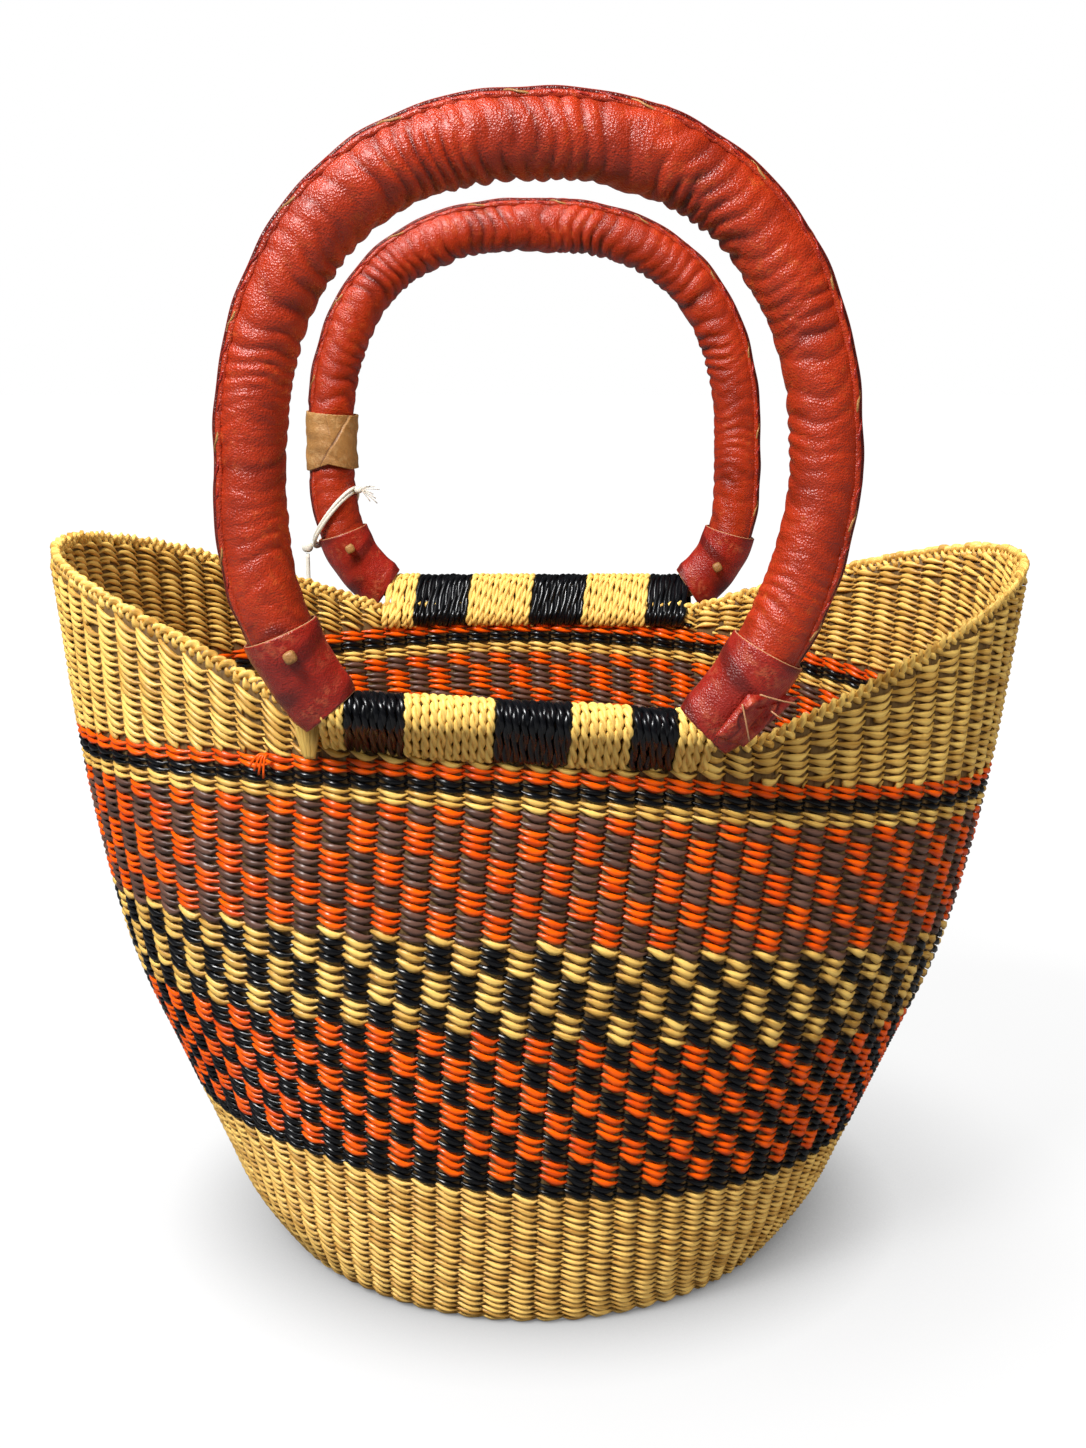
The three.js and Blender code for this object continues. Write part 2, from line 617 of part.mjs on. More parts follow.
function buildLoop(loop) {
  const group = new THREE.Group();
  group.name = `${loop.name}_handle`;
  basket.add(group);
  add(`${loop.name}_handle_grass_core`, core(loop), "grass", group);
  add(`${loop.name}_handle_leather_sleeve`, sleeve(loop), "leather", group);
  add(`${loop.name}_handle_left_cuff`, cuff(loop, false), "cuff", group);
  add(`${loop.name}_handle_right_cuff`, cuff(loop, true), "cuff", group);
  add(`${loop.name}_handle_left_peg`, block(loop, false, 20, -0.2, CUFF_BITS.peg, 0), "tan", group);
  const isStrapped = loop === FRONT;
  const bit = isStrapped ? CUFF_BITS.strap : CUFF_BITS.peg;
  const bitName = isStrapped ? "right_strap" : "right_peg";
  add(`${loop.name}_handle_${bitName}`, block(loop, true, 12, 0, bit, 0), isStrapped ? "cuff" : "tan", group);
  buildGrip(loop, basket);
  return group;
}

// Loose bits on the outside of the wall near the front grip's left end.
function buildTuft() {
  const onWall = (x, below, away) => {
    const braidMiddle = braidMiddleAt(FRONT, x);
    const angle = -Math.acos((x - MOUTH_SHIFT) / MOUTH_HALF_LENGTH);
    const height = braidMiddle.z - below;
    const face = wallPoint(angle, height);
    const outward = vec(face.x / MOUTH_HALF_LENGTH, face.y / MOUTH_HALF_DEPTH, 0).normalize();
    return { point: face.clone().addScaledVector(outward, away), outward };
  };
  const knot = onWall(GRASS_KNOT_X, GRASS_KNOT_BELOW_BRAID, GRASS_KNOT_RADIUS + GAP);
  add("grass_knot", ball(knot.point, GRASS_KNOT_RADIUS, GRASS_KNOT_RADIUS * 1.6), "natural");
  const tuft = onWall(TUFT_X, TUFT_BELOW_BRAID, TUFT_RADIUS + GAP);
  const end = tuft.point.clone().addScaledVector(tuft.outward, TUFT_LENGTH * 0.5).add(vec(0, 0, -TUFT_LENGTH * 0.8));
  add("orange_tuft", cord([tuft.point, tuft.point.clone().lerp(end, 0.5), end], TUFT_RADIUS), "orange");
}

buildBody();
buildTuft();
buildLoop(FRONT);
const backLoop = buildLoop(BACK);
add("back_handle_tan_patch", patch(BACK), "tan", backLoop);
buildString(BACK, backLoop);
export default basket;
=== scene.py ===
"""A twined grass market basket with two leather-covered carrying loops, dressed for looks.

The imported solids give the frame. Here every strand of the weave, the plaited rim, the wound
grips, the stitched leather and the small tied pieces are made as surfaces with numpy.
Everything is in metres, +Z up, +X along the mouth, -Y to the front.
"""

import sys

import logging
import math
from collections.abc import Sequence
from dataclasses import dataclass, field, fields
from enum import Enum
from typing import NamedTuple

import bpy
import numpy as np
from numpy.typing import NDArray
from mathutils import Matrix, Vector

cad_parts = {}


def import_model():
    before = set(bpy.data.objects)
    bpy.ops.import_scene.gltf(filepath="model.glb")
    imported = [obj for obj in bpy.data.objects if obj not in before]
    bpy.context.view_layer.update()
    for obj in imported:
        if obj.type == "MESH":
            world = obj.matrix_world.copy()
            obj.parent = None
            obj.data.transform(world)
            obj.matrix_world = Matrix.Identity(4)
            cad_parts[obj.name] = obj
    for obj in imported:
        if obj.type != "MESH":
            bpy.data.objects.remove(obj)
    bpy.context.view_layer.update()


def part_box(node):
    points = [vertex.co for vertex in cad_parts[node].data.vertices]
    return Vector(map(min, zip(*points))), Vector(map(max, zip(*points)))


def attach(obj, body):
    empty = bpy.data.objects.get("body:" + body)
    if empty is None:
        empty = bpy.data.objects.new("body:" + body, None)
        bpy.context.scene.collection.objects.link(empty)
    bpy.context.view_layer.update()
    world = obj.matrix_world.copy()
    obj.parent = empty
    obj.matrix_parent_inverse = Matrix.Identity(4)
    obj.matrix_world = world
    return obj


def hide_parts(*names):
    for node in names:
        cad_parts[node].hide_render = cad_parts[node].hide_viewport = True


Array = NDArray[np.float64]
Indices = NDArray[np.int64]
Colour = Point = tuple[float, float, float]
log = logging.getLogger("basket")

MM = 0.001
TAU = 2 * math.pi
FRONT_SIDE, BACK_SIDE = -1, 1
FRONTWARDS, UPWARDS = np.array([0.0, -1.0, 0.0]), np.array([0.0, 0.0, 1.0])
RANDOM_SEED = 11


def smooth(x: Array | float, low: float, high: float) -> Array:
    """Eases from 0 at low to 1 at high: 3t^2 - 2t^3 of the clamped share t."""
    t = np.clip((np.asarray(x, float) - low) / (high - low), 0, 1)
    return t * t * (3 - 2 * t)


def unit(v: Array) -> Array:
    """Vectors scaled to length one along the last axis."""
    return v / np.maximum(np.linalg.norm(v, axis=-1, keepdims=True), 1e-12)


def gradient(points: Array, closed: bool) -> Array:
    """Unit tangents of a polyline by central differences, wrapped round when it is closed.

    Args:
        points: The polyline, shape (n, 3).
        closed: Whether its last point joins the first.

    Returns:
        A tangent for each point.
    """
    if closed:
        return unit(np.roll(points, -1, 0) - np.roll(points, 1, 0))
    return unit(np.gradient(points, axis=0))


def run_length(points: Array) -> Array:
    """The length along a polyline up to each of its points."""
    return np.concatenate([[0], np.cumsum(np.linalg.norm(np.diff(points, axis=0), axis=1))])


def wave(run: Array, length: float, phase: Array | float = 0.0) -> Array:
    """A sine over run length that gains one radian in `length` millimetres."""
    return np.sin(run / (length * MM) + phase)


def lobes(run: Array, length: float, power: float, phase: float = 0.0) -> Array:
    """Rounded lobes `length` millimetres apart with sharp valleys: |sin(pi x / l + phase)|^power."""
    return np.abs(np.sin(math.pi * run / (length * MM) + phase)) ** power


def bell(x: Array, width: float) -> Array:
    """A bump of height 1 about x = 0: exp(-(x / width)^2)."""
    return np.exp(-((x / width) ** 2))


def superellipse(c: Array, s: Array, power: Array | float) -> Array:
    """The radius at cosine c and sine s of a unit oval; power 2 is round, more is squarer."""
    return (np.abs(c) ** power + np.abs(s) ** power) ** (-1 / power)


def box_of(node: str) -> tuple[Array, Array]:
    """The lowest and the highest corner of a solid in the frame."""
    low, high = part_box(node)
    return np.array(low), np.array(high)


@dataclass
class Surface:
    """A mesh being gathered: points, faces and per-point attributes of many strips."""

    points: list[Array] = field(default_factory=list)
    quads: list[Indices] = field(default_factory=list)
    caps: list[Indices] = field(default_factory=list)
    fibre: list[Array] = field(default_factory=list)
    tone: list[Array] = field(default_factory=list)
    count: int = 0

    def grid(self, points: Array, closed: bool, fibre: Array, tone: Array | float) -> None:
        """Adds closed rings joined in order; an open run gets a flat face at each end.

        Args:
            points: Rings of points, shape (rings, sides, 3).
            closed: Whether the last ring joins the first.
            fibre: Pattern coordinates of each point, same shape.
            tone: Shades from 0 to 1, of a shape that spreads to (rings, sides).
        """
        rings, sides, _ = points.shape
        i = np.arange(rings if closed else rings - 1)[:, None]
        j = np.arange(sides)[None, :]
        after, k = (i + 1) % rings, (j + 1) % sides
        quad = np.stack([i * sides + j, i * sides + k, after * sides + k, after * sides + j], -1)
        self.quads.append(quad.reshape(-1, 4) + self.count)
        if not closed:
            self.caps.append(np.arange(sides)[::-1] + self.count)
            self.caps.append((rings - 1) * sides + np.arange(sides) + self.count)
        self.points.append(points.reshape(-1, 3))
        self.fibre.append(fibre.reshape(-1, 3))
        self.tone.append(np.broadcast_to(tone, (rings, sides)).reshape(-1))
        self.count += rings * sides

    def build(self, name: str) -> bpy.types.Object:
        """Makes the object, shaded smooth, with its faces turned outwards.

        Args:
            name: The piece's name.

        Returns:
            The new object, linked to the scene.
        """
        points, quads, caps = np.concatenate(self.points), np.concatenate(self.quads), self.caps
        if signed_volume(points, quads) < 0:
            quads, caps = quads[:, ::-1], [cap[::-1] for cap in caps]
        sizes = np.concatenate([np.full(len(quads), 4), np.array([len(cap) for cap in caps], int)])
        corners = np.concatenate([quads.reshape(-1), *caps])
        mesh = bpy.data.meshes.new(name)
        mesh.vertices.add(len(points))
        mesh.vertices.foreach_set("co", points.astype(np.float32).ravel())
        mesh.loops.add(len(corners))
        mesh.loops.foreach_set("vertex_index", corners.astype(np.int32))
        mesh.polygons.add(len(sizes))
        starts = np.concatenate([[0], np.cumsum(sizes)[:-1]])
        mesh.polygons.foreach_set("loop_start", starts.astype(np.int32))
        mesh.update(calc_edges=True)
        mesh.validate()
        mesh.polygons.foreach_set("use_smooth", np.full(len(mesh.polygons), True))
        for label, kind, key, parts in (
            ("fibre", "FLOAT_VECTOR", "vector", self.fibre), ("tone", "FLOAT", "value", self.tone),
        ):
            values = np.concatenate(parts).astype(np.float32).ravel()
            mesh.attributes.new(label, kind, "POINT").data.foreach_set(key, values)
        made = bpy.data.objects.new(name, mesh)
        bpy.context.scene.collection.objects.link(made)
        return made


def signed_volume(points: Array, quads: Indices) -> float:
    """Six times the volume that quads enclose, negative when they face inwards.

    Args:
        points: The mesh's points.
        quads: The numbers of each quad's four points.

    Returns:
        The volume times six.
    """
    a, b, c, d = (points[quads[:, i]] for i in range(4))
    halves = np.einsum("ij,ij->i", a, np.cross(b, c)) + np.einsum("ij,ij->i", a, np.cross(c, d))
    return float(halves.sum())


def double_skin(outer: Array, inner: Array, tone: Array, fibre: Array | None = None) -> Surface:
    """A closed tube of leather: its outer face, its inner face and the cut edges between them.

    Args:
        outer: Rings of the outer face, shape (rings, sides, 3).
        inner: Rings of the inner face, in the same order.
        tone: The shade of both, shape (rings, sides).
        fibre: Pattern coordinates of both; None takes the points themselves.

    Returns:
        The gathered surface.
    """
    points = np.concatenate([outer, inner[::-1]])
    drawn = points if fibre is None else np.concatenate([fibre, fibre[::-1]])
    surface = Surface()
    surface.grid(points, True, drawn, np.concatenate([tone, tone[::-1]]))
    return surface


def ring_section(sides: int) -> Array:
    """Cosine and sine of evenly spaced angles round a section, shape (sides, 2)."""
    a = np.arange(sides) / sides * TAU
    return np.stack([np.cos(a), np.sin(a)], -1)


def tube_rings(
    centre: Array, across: Array, up: Array, half_across: Array | float, half_up: Array | float, sides: int
) -> Array:
    """Rings of an oval tube: centre + across * a cos + up * b sin, for a, b the half sizes.

    Args:
        centre: The middle line, shape (n, 3).
        across: The unit way of the first half size at each point.
        up: The unit way of the second.
        half_across: The first half size, one or one per point.
        half_up: The second.
        sides: Points round each ring.

    Returns:
        The rings, shape (n, sides, 3).
    """
    section = ring_section(sides)
    a = np.broadcast_to(half_across, centre.shape[:1])[:, None, None] * section[None, :, :1]
    b = np.broadcast_to(half_up, centre.shape[:1])[:, None, None] * section[None, :, 1:]
    return centre[:, None] + across[:, None] * a + up[:, None] * b


def tube_fibre(centre: Array, sides: int, seed: float, radius: float) -> Array:
    """Pattern coordinates of a tube: its run length, and its section set off by a seed.

    Args:
        centre: The middle line, shape (n, 3).
        sides: Points round each ring.
        seed: Sets the pattern apart from other tubes'.
        radius: The section's radius within the pattern.

    Returns:
        The coordinates, shape (n, sides, 3).
    """
    section = ring_section(sides) * radius
    out = np.empty((len(centre), sides, 3))
    out[..., 0] = run_length(centre)[:, None] + seed
    out[..., 1] = section[None, :, 0] + seed * 7
    out[..., 2] = section[None, :, 1] - seed * 3
    return out


def add_tube(
    surface: Surface, centre: Array, radius: Array | float, sides: int = 8, closed: bool = False,
    seed: float = 0.0, tone: float = 0.5, flat: float = 1.0, towards: Array | None = None,
) -> None:
    """Adds a cord along a polyline, oval when flat is not 1.

    Args:
        surface: What it is gathered in.
        centre: The polyline, shape (n, 3).
        radius: Its radius, one or one per point.
        sides: Faces round it.
        closed: Whether it ends where it starts.
        seed: Sets its pattern apart from its neighbours'.
        tone: Its shade, 0 to 1.
        flat: Its thickness towards `towards` as a share of its width.
        towards: The way its flat side faces; None is a way that no cord here follows.
    """
    along = gradient(centre, closed)
    guide = np.array([0.31, -1.0, 0.23]) if towards is None else towards
    across = unit(np.cross(along, np.broadcast_to(guide, along.shape)))
    up = np.cross(across, along)
    rings = tube_rings(centre, across, up, radius, np.asarray(radius) * flat, sides)
    surface.grid(rings, closed, tube_fibre(centre, sides, seed, float(np.max(radius))), tone)


@dataclass
class WallShape:
    """The basket's wall: its plan at each height, its rows and its rim, as the solids have it.

    The outline's shares say how far the plan has grown from the round foot to the mouth at each
    height. colour_tops are the bands' upper edges at the front's middle, as shares of the bar's
    height. Rows sag at the two ends, and lean and twist a little, as the photographed ones do.
    """

    foot_radius: float = 104 * MM
    half_length: float = 193 * MM
    half_depth: float = 130 * MM
    shift: float = 3 * MM
    tip: float = 281 * MM
    thickness: float = 5.2 * MM
    heights: Sequence[float] = (0, 0.014, 0.08, 0.15, 0.21, 0.31, 0.43, 0.56, 0.73, 1)
    lengths: Sequence[float] = (0, 0.07, 0.23, 0.33, 0.41, 0.54, 0.69, 0.79, 0.88, 1)
    depths: Sequence[float] = (0, 0.12, 0.31, 0.44, 0.54, 0.65, 0.75, 0.92, 1, 1)
    squareness: Sequence[float] = (2, 2, 2, 2, 2, 2.05, 2.15, 2.2, 2.25, 2.05)
    sag: float = 15.5 * MM
    lean: float = -7 * MM
    twist: float = 4.9 * MM
    back_rise: float = 1.6 * MM
    colour_tops: Sequence[float] = (0.2454, 0.2701, 0.5134, 0.6701, 0.8639, 0.8845, 0.9052, 0.9258)
    dip_end: float = 0.4
    left_rise: float = 2 * MM
    right_drop: float = 3 * MM
    left_fullness: float = 1.4
    bar_height: float = 242.5 * MM
    bar_above_rim: float = 7.4 * MM
    front_slant: float = 3.2
    front_middle: float = 2.5 * MM
    stakes: int = 92
    stake_pitch: float = 9.65 * MM
    stake_lean: float = 1.4
    stake_top: float = 210 * MM
    plan_points: int = 3601
    stake_levels: int = 22

    def __post_init__(self) -> None:
        """Lays out the stakes level by level.

        Stakes keep one pitch at the front's and the back's middle, so away from there the pitch
        is p (1 + s cos^2 u), with s found from each level's length round.
        """
        self._u = np.linspace(0, TAU, self.plan_points)
        middle = (self._u[1:] + self._u[:-1]) / 2
        self._shares = []
        for level in np.linspace(0, self.stake_top, self.stake_levels):
            row = self.point(self._u, self.row(self._u, level))
            steps = np.linalg.norm(np.diff(row, axis=0), axis=1)
            spread = 2 * (steps.sum() / (self.stakes * self.stake_pitch) - 1)
            weight = steps / (1 + spread * np.cos(middle) ** 2)
            self._shares.append(np.concatenate([[0], np.cumsum(weight)]) / weight.sum())

    @property
    def foot_top(self) -> float:
        """The height of the undyed foot at the middle of the front."""
        return self.colour_tops[0] * self.bar_height

    def curve(self, values: Sequence[float], z: Array) -> Array:
        """A smooth curve through the outline's shares: cubic between them, slopes from neighbours.

        Args:
            values: One share for each of the outline's heights.
            z: The heights to read it at.

        Returns:
            The shares at those heights.
        """
        xs, ys = np.array(self.heights) * self.tip, np.array(values, float)
        slope = np.empty_like(ys)
        slope[1:-1] = (ys[2:] - ys[:-2]) / (xs[2:] - xs[:-2])
        slope[0], slope[-1] = (ys[1] - ys[0]) / (xs[1] - xs[0]), (ys[-1] - ys[-2]) / (xs[-1] - xs[-2])
        i = np.clip(np.searchsorted(xs, z, side="left") - 1, 0, len(xs) - 2)
        width = xs[i + 1] - xs[i]
        t = np.clip((z - xs[i]) / width, 0, 1)
        t2, t3 = t * t, t * t * t
        return (
            (2 * t3 - 3 * t2 + 1) * ys[i] + (t3 - 2 * t2 + t) * width * slope[i]
            + (3 * t2 - 2 * t3) * ys[i + 1] + (t3 - t2) * width * slope[i + 1]
        )

    def point(self, u: Array, z: Array, inset: Array | float = 0.0) -> Array:
        """A point of the outer face at angle u and height z, or that far inside it.

        Args:
            u: Angles round the wall, 0 at +X and a quarter turn at the back.
            z: Heights.
            inset: How far inside the outer face.

        Returns:
            The points, X, Y and Z along the last axis.
        """
        u, z = np.broadcast_arrays(np.asarray(u, float), np.asarray(z, float))
        a = self.foot_radius + (self.half_length - self.foot_radius) * self.curve(self.lengths, z) - inset
        b = self.foot_radius + (self.half_depth - self.foot_radius) * self.curve(self.depths, z) - inset
        c, s = np.cos(u), np.sin(u)
        k = superellipse(c, s, self.curve(self.squareness, z))
        return np.stack([self.shift * z / self.tip + a * c * k, b * s * k, z], -1)

    def row(self, u: Array, front: Array | float) -> Array:
        """The height round the basket of the row that is `front` high at the front's middle.

        Args:
            u: Angles round the wall.
            front: The row's height at the front's middle.

        Returns:
            The heights.
        """
        c, s = np.cos(u), np.sin(u)
        grown = np.clip(np.asarray(front) / self.foot_top, 0, 1)
        sagging = smooth(front, self.foot_top, self.colour_tops[2] * self.bar_height)
        leaning = self.lean * c + self.twist * s * c
        return front - self.sag * sagging * c * c + grown * leaning + self.back_rise * sagging * (s + 1)

    def rim(self, u: Array) -> Array:
        """The height of the rim's middle: low under the grips, high at the two ends.

        Args:
            u: Angles round the wall.

        Returns:
            The heights.
        """
        c, s = np.cos(u), np.sin(u)
        climb = np.maximum(0, (np.abs(c) - self.dip_end) / (1 - self.dip_end))
        fullness = np.where((s < 0) & (c < 0), self.left_fullness, 1)
        wing = climb * (fullness - (fullness - 1) * climb)
        x = self.point(u, np.full_like(u, self.bar_height))[..., 0]
        slant = math.tan(math.radians(self.front_slant))
        bar = np.where(s < 0, self.bar_height - slant * (x - self.front_middle), self.bar_height)
        dip = bar + (self.bar_height - bar) * climb - self.bar_above_rim
        tip = self.tip + np.where(c < 0, self.left_rise, -self.right_drop)
        return dip + (tip - dip) * wing

    def frame(self, u: Array, z: Array, inset: float) -> tuple[Array, Array, Array]:
        """A point inside the wall with the wall's outward and upward ways there.

        Args:
            u: Angles round the wall.
            z: Heights.
            inset: How far inside the outer face.

        Returns:
            The points, the outward ways and the upward ways.
        """
        aside, above = 1e-4, 0.3 * MM
        up = unit(self.point(u, z + above, inset) - self.point(u, z - above, inset))
        along = unit(self.point(u + aside, z, inset) - self.point(u - aside, z, inset))
        return self.point(u, z, inset), unit(np.cross(along, up)), up

    def angle(self, t: Array, level: float) -> Array:
        """The angle of stake number t on the row of this front height; the stakes lean a little.

        Args:
            t: Stake numbers, whole or between stakes.
            level: The row's height at the front's middle.

        Returns:
            The angles, which count on past a full turn.
        """
        level = min(level, self.stake_top)
        place = level / self.stake_top * (self.stake_levels - 1)
        i = min(int(place), self.stake_levels - 2)
        share = self._shares[i] * (i + 1 - place) + self._shares[i + 1] * (place - i)
        around = (t - self.stake_lean * (1 - level / self.stake_top)) / self.stakes
        turns = np.floor(around)
        return np.interp(around - turns, share, self._u) + turns * TAU


class Dye(Enum):
    """What the grass of a strand is coloured with; the value names its material and its slot."""

    NATURAL = "natural_grass"
    FOOT = "foot_grass"
    BLACK = "black_grass"
    ORANGE = "orange_grass"
    BROWN = "brown_grass"
    # Darkened well below straw's own colour: painted shade for the gaps between the weft strands.
    BUNDLE = "bundled_grass"


class Hide(Enum):
    """The leathers; the value names the material."""

    RED = "red_leather"
    CRIMSON = "crimson_leather"
    TAN = "tan_leather"
    RAW = "raw_edge"

    @property
    def slot(self) -> str:
        """Its slot; a raw edge shares the tan leather's."""
        return (Hide.TAN if self is Hide.RAW else self).value


@dataclass(frozen=True)
class Grass:
    """A grass finish: its usual colour, the colour of its darker strands and of its painted shade, and its
    sheen.
    """

    pale: Colour
    dark: Colour
    roughness: float
    streak: float


@dataclass(frozen=True)
class Leather:
    """A leather finish: main colour, its dark tone for uneven dye and painted shade, its worn tone, and how
    much of each shows.
    """

    main: Colour
    dark: Colour
    worn: Colour
    roughness: float
    wear: float
    grain: float


GRASSES = {
    Dye.NATURAL: Grass((0.90, 0.59, 0.150), (0.46, 0.23, 0.038), 0.38, 0.45),
    Dye.FOOT: Grass((0.97, 0.62, 0.165), (0.46, 0.22, 0.036), 0.40, 0.45),
    Dye.BLACK: Grass((0.0030, 0.0034, 0.0046), (0.0012, 0.0012, 0.0016), 0.24, 0.25),
    Dye.ORANGE: Grass((1.0, 0.125, 0.001), (0.58, 0.048, 0.001), 0.28, 0.35),
    Dye.BROWN: Grass((0.150, 0.072, 0.050), (0.050, 0.024, 0.017), 0.34, 0.35),
    # The bundled grass is dark brown as painted shade in the gaps, not as the straw's colour.
    Dye.BUNDLE: Grass((0.20, 0.115, 0.038), (0.07, 0.038, 0.014), 0.6, 0.4),
}
LEATHERS = {
    Hide.RED: Leather((0.41, 0.027, 0.003), (0.060, 0.002, 0.001), (0.60, 0.125, 0.018), 0.29, 0.6, 0.6),
    Hide.CRIMSON: Leather((0.32, 0.014, 0.006), (0.11, 0.005, 0.003), (0.48, 0.10, 0.04), 0.29, 0.5, 0.6),
    Hide.TAN: Leather((0.38, 0.18, 0.050), (0.15, 0.062, 0.018), (0.56, 0.34, 0.14), 0.47, 0.4, 0.4),
    Hide.RAW: Leather((0.46, 0.22, 0.10), (0.26, 0.11, 0.05), (0.64, 0.42, 0.26), 0.57, 0.4, 0.25),
}
COTTON = "cotton_string"


class Nodes:
    """Adds shader nodes to a tree and joins them up in few words."""

    def __init__(self, tree: bpy.types.NodeTree) -> None:
        """Keeps the tree."""
        self.tree = tree

    def feed(self, node: bpy.types.Node, inputs: dict[str | int, object]) -> bpy.types.Node:
        """Sets a node's inputs to values or links them to sockets, by name or number.

        Args:
            node: The node.
            inputs: Values, or sockets to link, by input name or number.

        Returns:
            The node.
        """
        for key, value in inputs.items():
            if isinstance(value, bpy.types.NodeSocket):
                self.tree.links.new(value, node.inputs[key])
            else:
                node.inputs[key].default_value = value
        return node

    def add(
        self, kind: str, inputs: dict[str | int, object] | None = None, **settings: object
    ) -> bpy.types.Node:
        """Adds a node, sets its properties, and sets or links its inputs.

        Args:
            kind: The node's type name.
            inputs: Values, or sockets to link, by input name or number.
            **settings: The node's own properties.

        Returns:
            The node.
        """
        node = self.tree.nodes.new(kind)
        for key, value in settings.items():
            setattr(node, key, value)
        return self.feed(node, inputs or {})

    def maths(self, operation: str, a: object, b: object = 0.5, clamp: bool = False) -> bpy.types.NodeSocket:
        """One step of arithmetic; returns its result."""
        return self.add("ShaderNodeMath", {0: a, 1: b}, operation=operation, use_clamp=clamp).outputs[0]

    def plus(self, a: object, b: object, clamp: bool = False) -> bpy.types.NodeSocket:
        """The sum of two values, kept within 0 and 1 when asked."""
        return self.maths("ADD", a, b, clamp)

    def times(self, a: object, b: object) -> bpy.types.NodeSocket:
        """The product of two values."""
        return self.maths("MULTIPLY", a, b)

    def minus(self, a: object, b: object) -> bpy.types.NodeSocket:
        """The difference of two values."""
        return self.maths("SUBTRACT", a, b)

    def mix(self, share: object, a: object, b: object) -> bpy.types.NodeSocket:
        """Mixes two colours by a share; returns the colour."""
        inputs = {0: share, 6: a, 7: b}
        return self.add("ShaderNodeMix", inputs, data_type="RGBA", clamp_factor=True).outputs[2]

    def ramp(self, value: object, low: float, high: float) -> bpy.types.NodeSocket:
        """A value spread so that low becomes 0 and high becomes 1; returns it."""
        inputs = {0: value, 1: low, 2: high, 3: 0.0, 4: 1.0}
        return self.add("ShaderNodeMapRange", inputs, clamp=True, interpolation_type="SMOOTHSTEP").outputs[0]

    def noise(
        self, place: object, scale: float, detail: float, distortion: float = 0.0
    ) -> bpy.types.NodeSocket:
        """Cloudy noise at a place; returns its value."""
        inputs = {"Vector": place, "Scale": scale, "Detail": detail, "Distortion": distortion}
        return self.add("ShaderNodeTexNoise", inputs).outputs[0]

    def attribute(self, name: str, output: str) -> bpy.types.NodeSocket:
        """A per-point attribute of the mesh, read from that output."""
        return self.add("ShaderNodeAttribute", attribute_name=name, attribute_type="GEOMETRY").outputs[output]

    def drawn(self, place: object, scale: Colour) -> bpy.types.NodeSocket:
        """A place scaled by axis, which draws a pattern out along the smallest."""
        return self.add("ShaderNodeMapping", {"Vector": place, "Scale": scale}).outputs[0]


def new_material(name: str) -> tuple[bpy.types.Material, Nodes, bpy.types.Node]:
    """A material with its tree's helper and its Principled shader.

    Args:
        name: The material's name.

    Returns:
        The material, the helper and the shader.
    """
    material = bpy.data.materials.new(name)
    material.use_nodes = True
    return material, Nodes(material.node_tree), material.node_tree.nodes["Principled BSDF"]


def rgba(colour: Colour) -> tuple[float, float, float, float]:
    """A colour with full alpha."""
    return (*colour, 1.0)


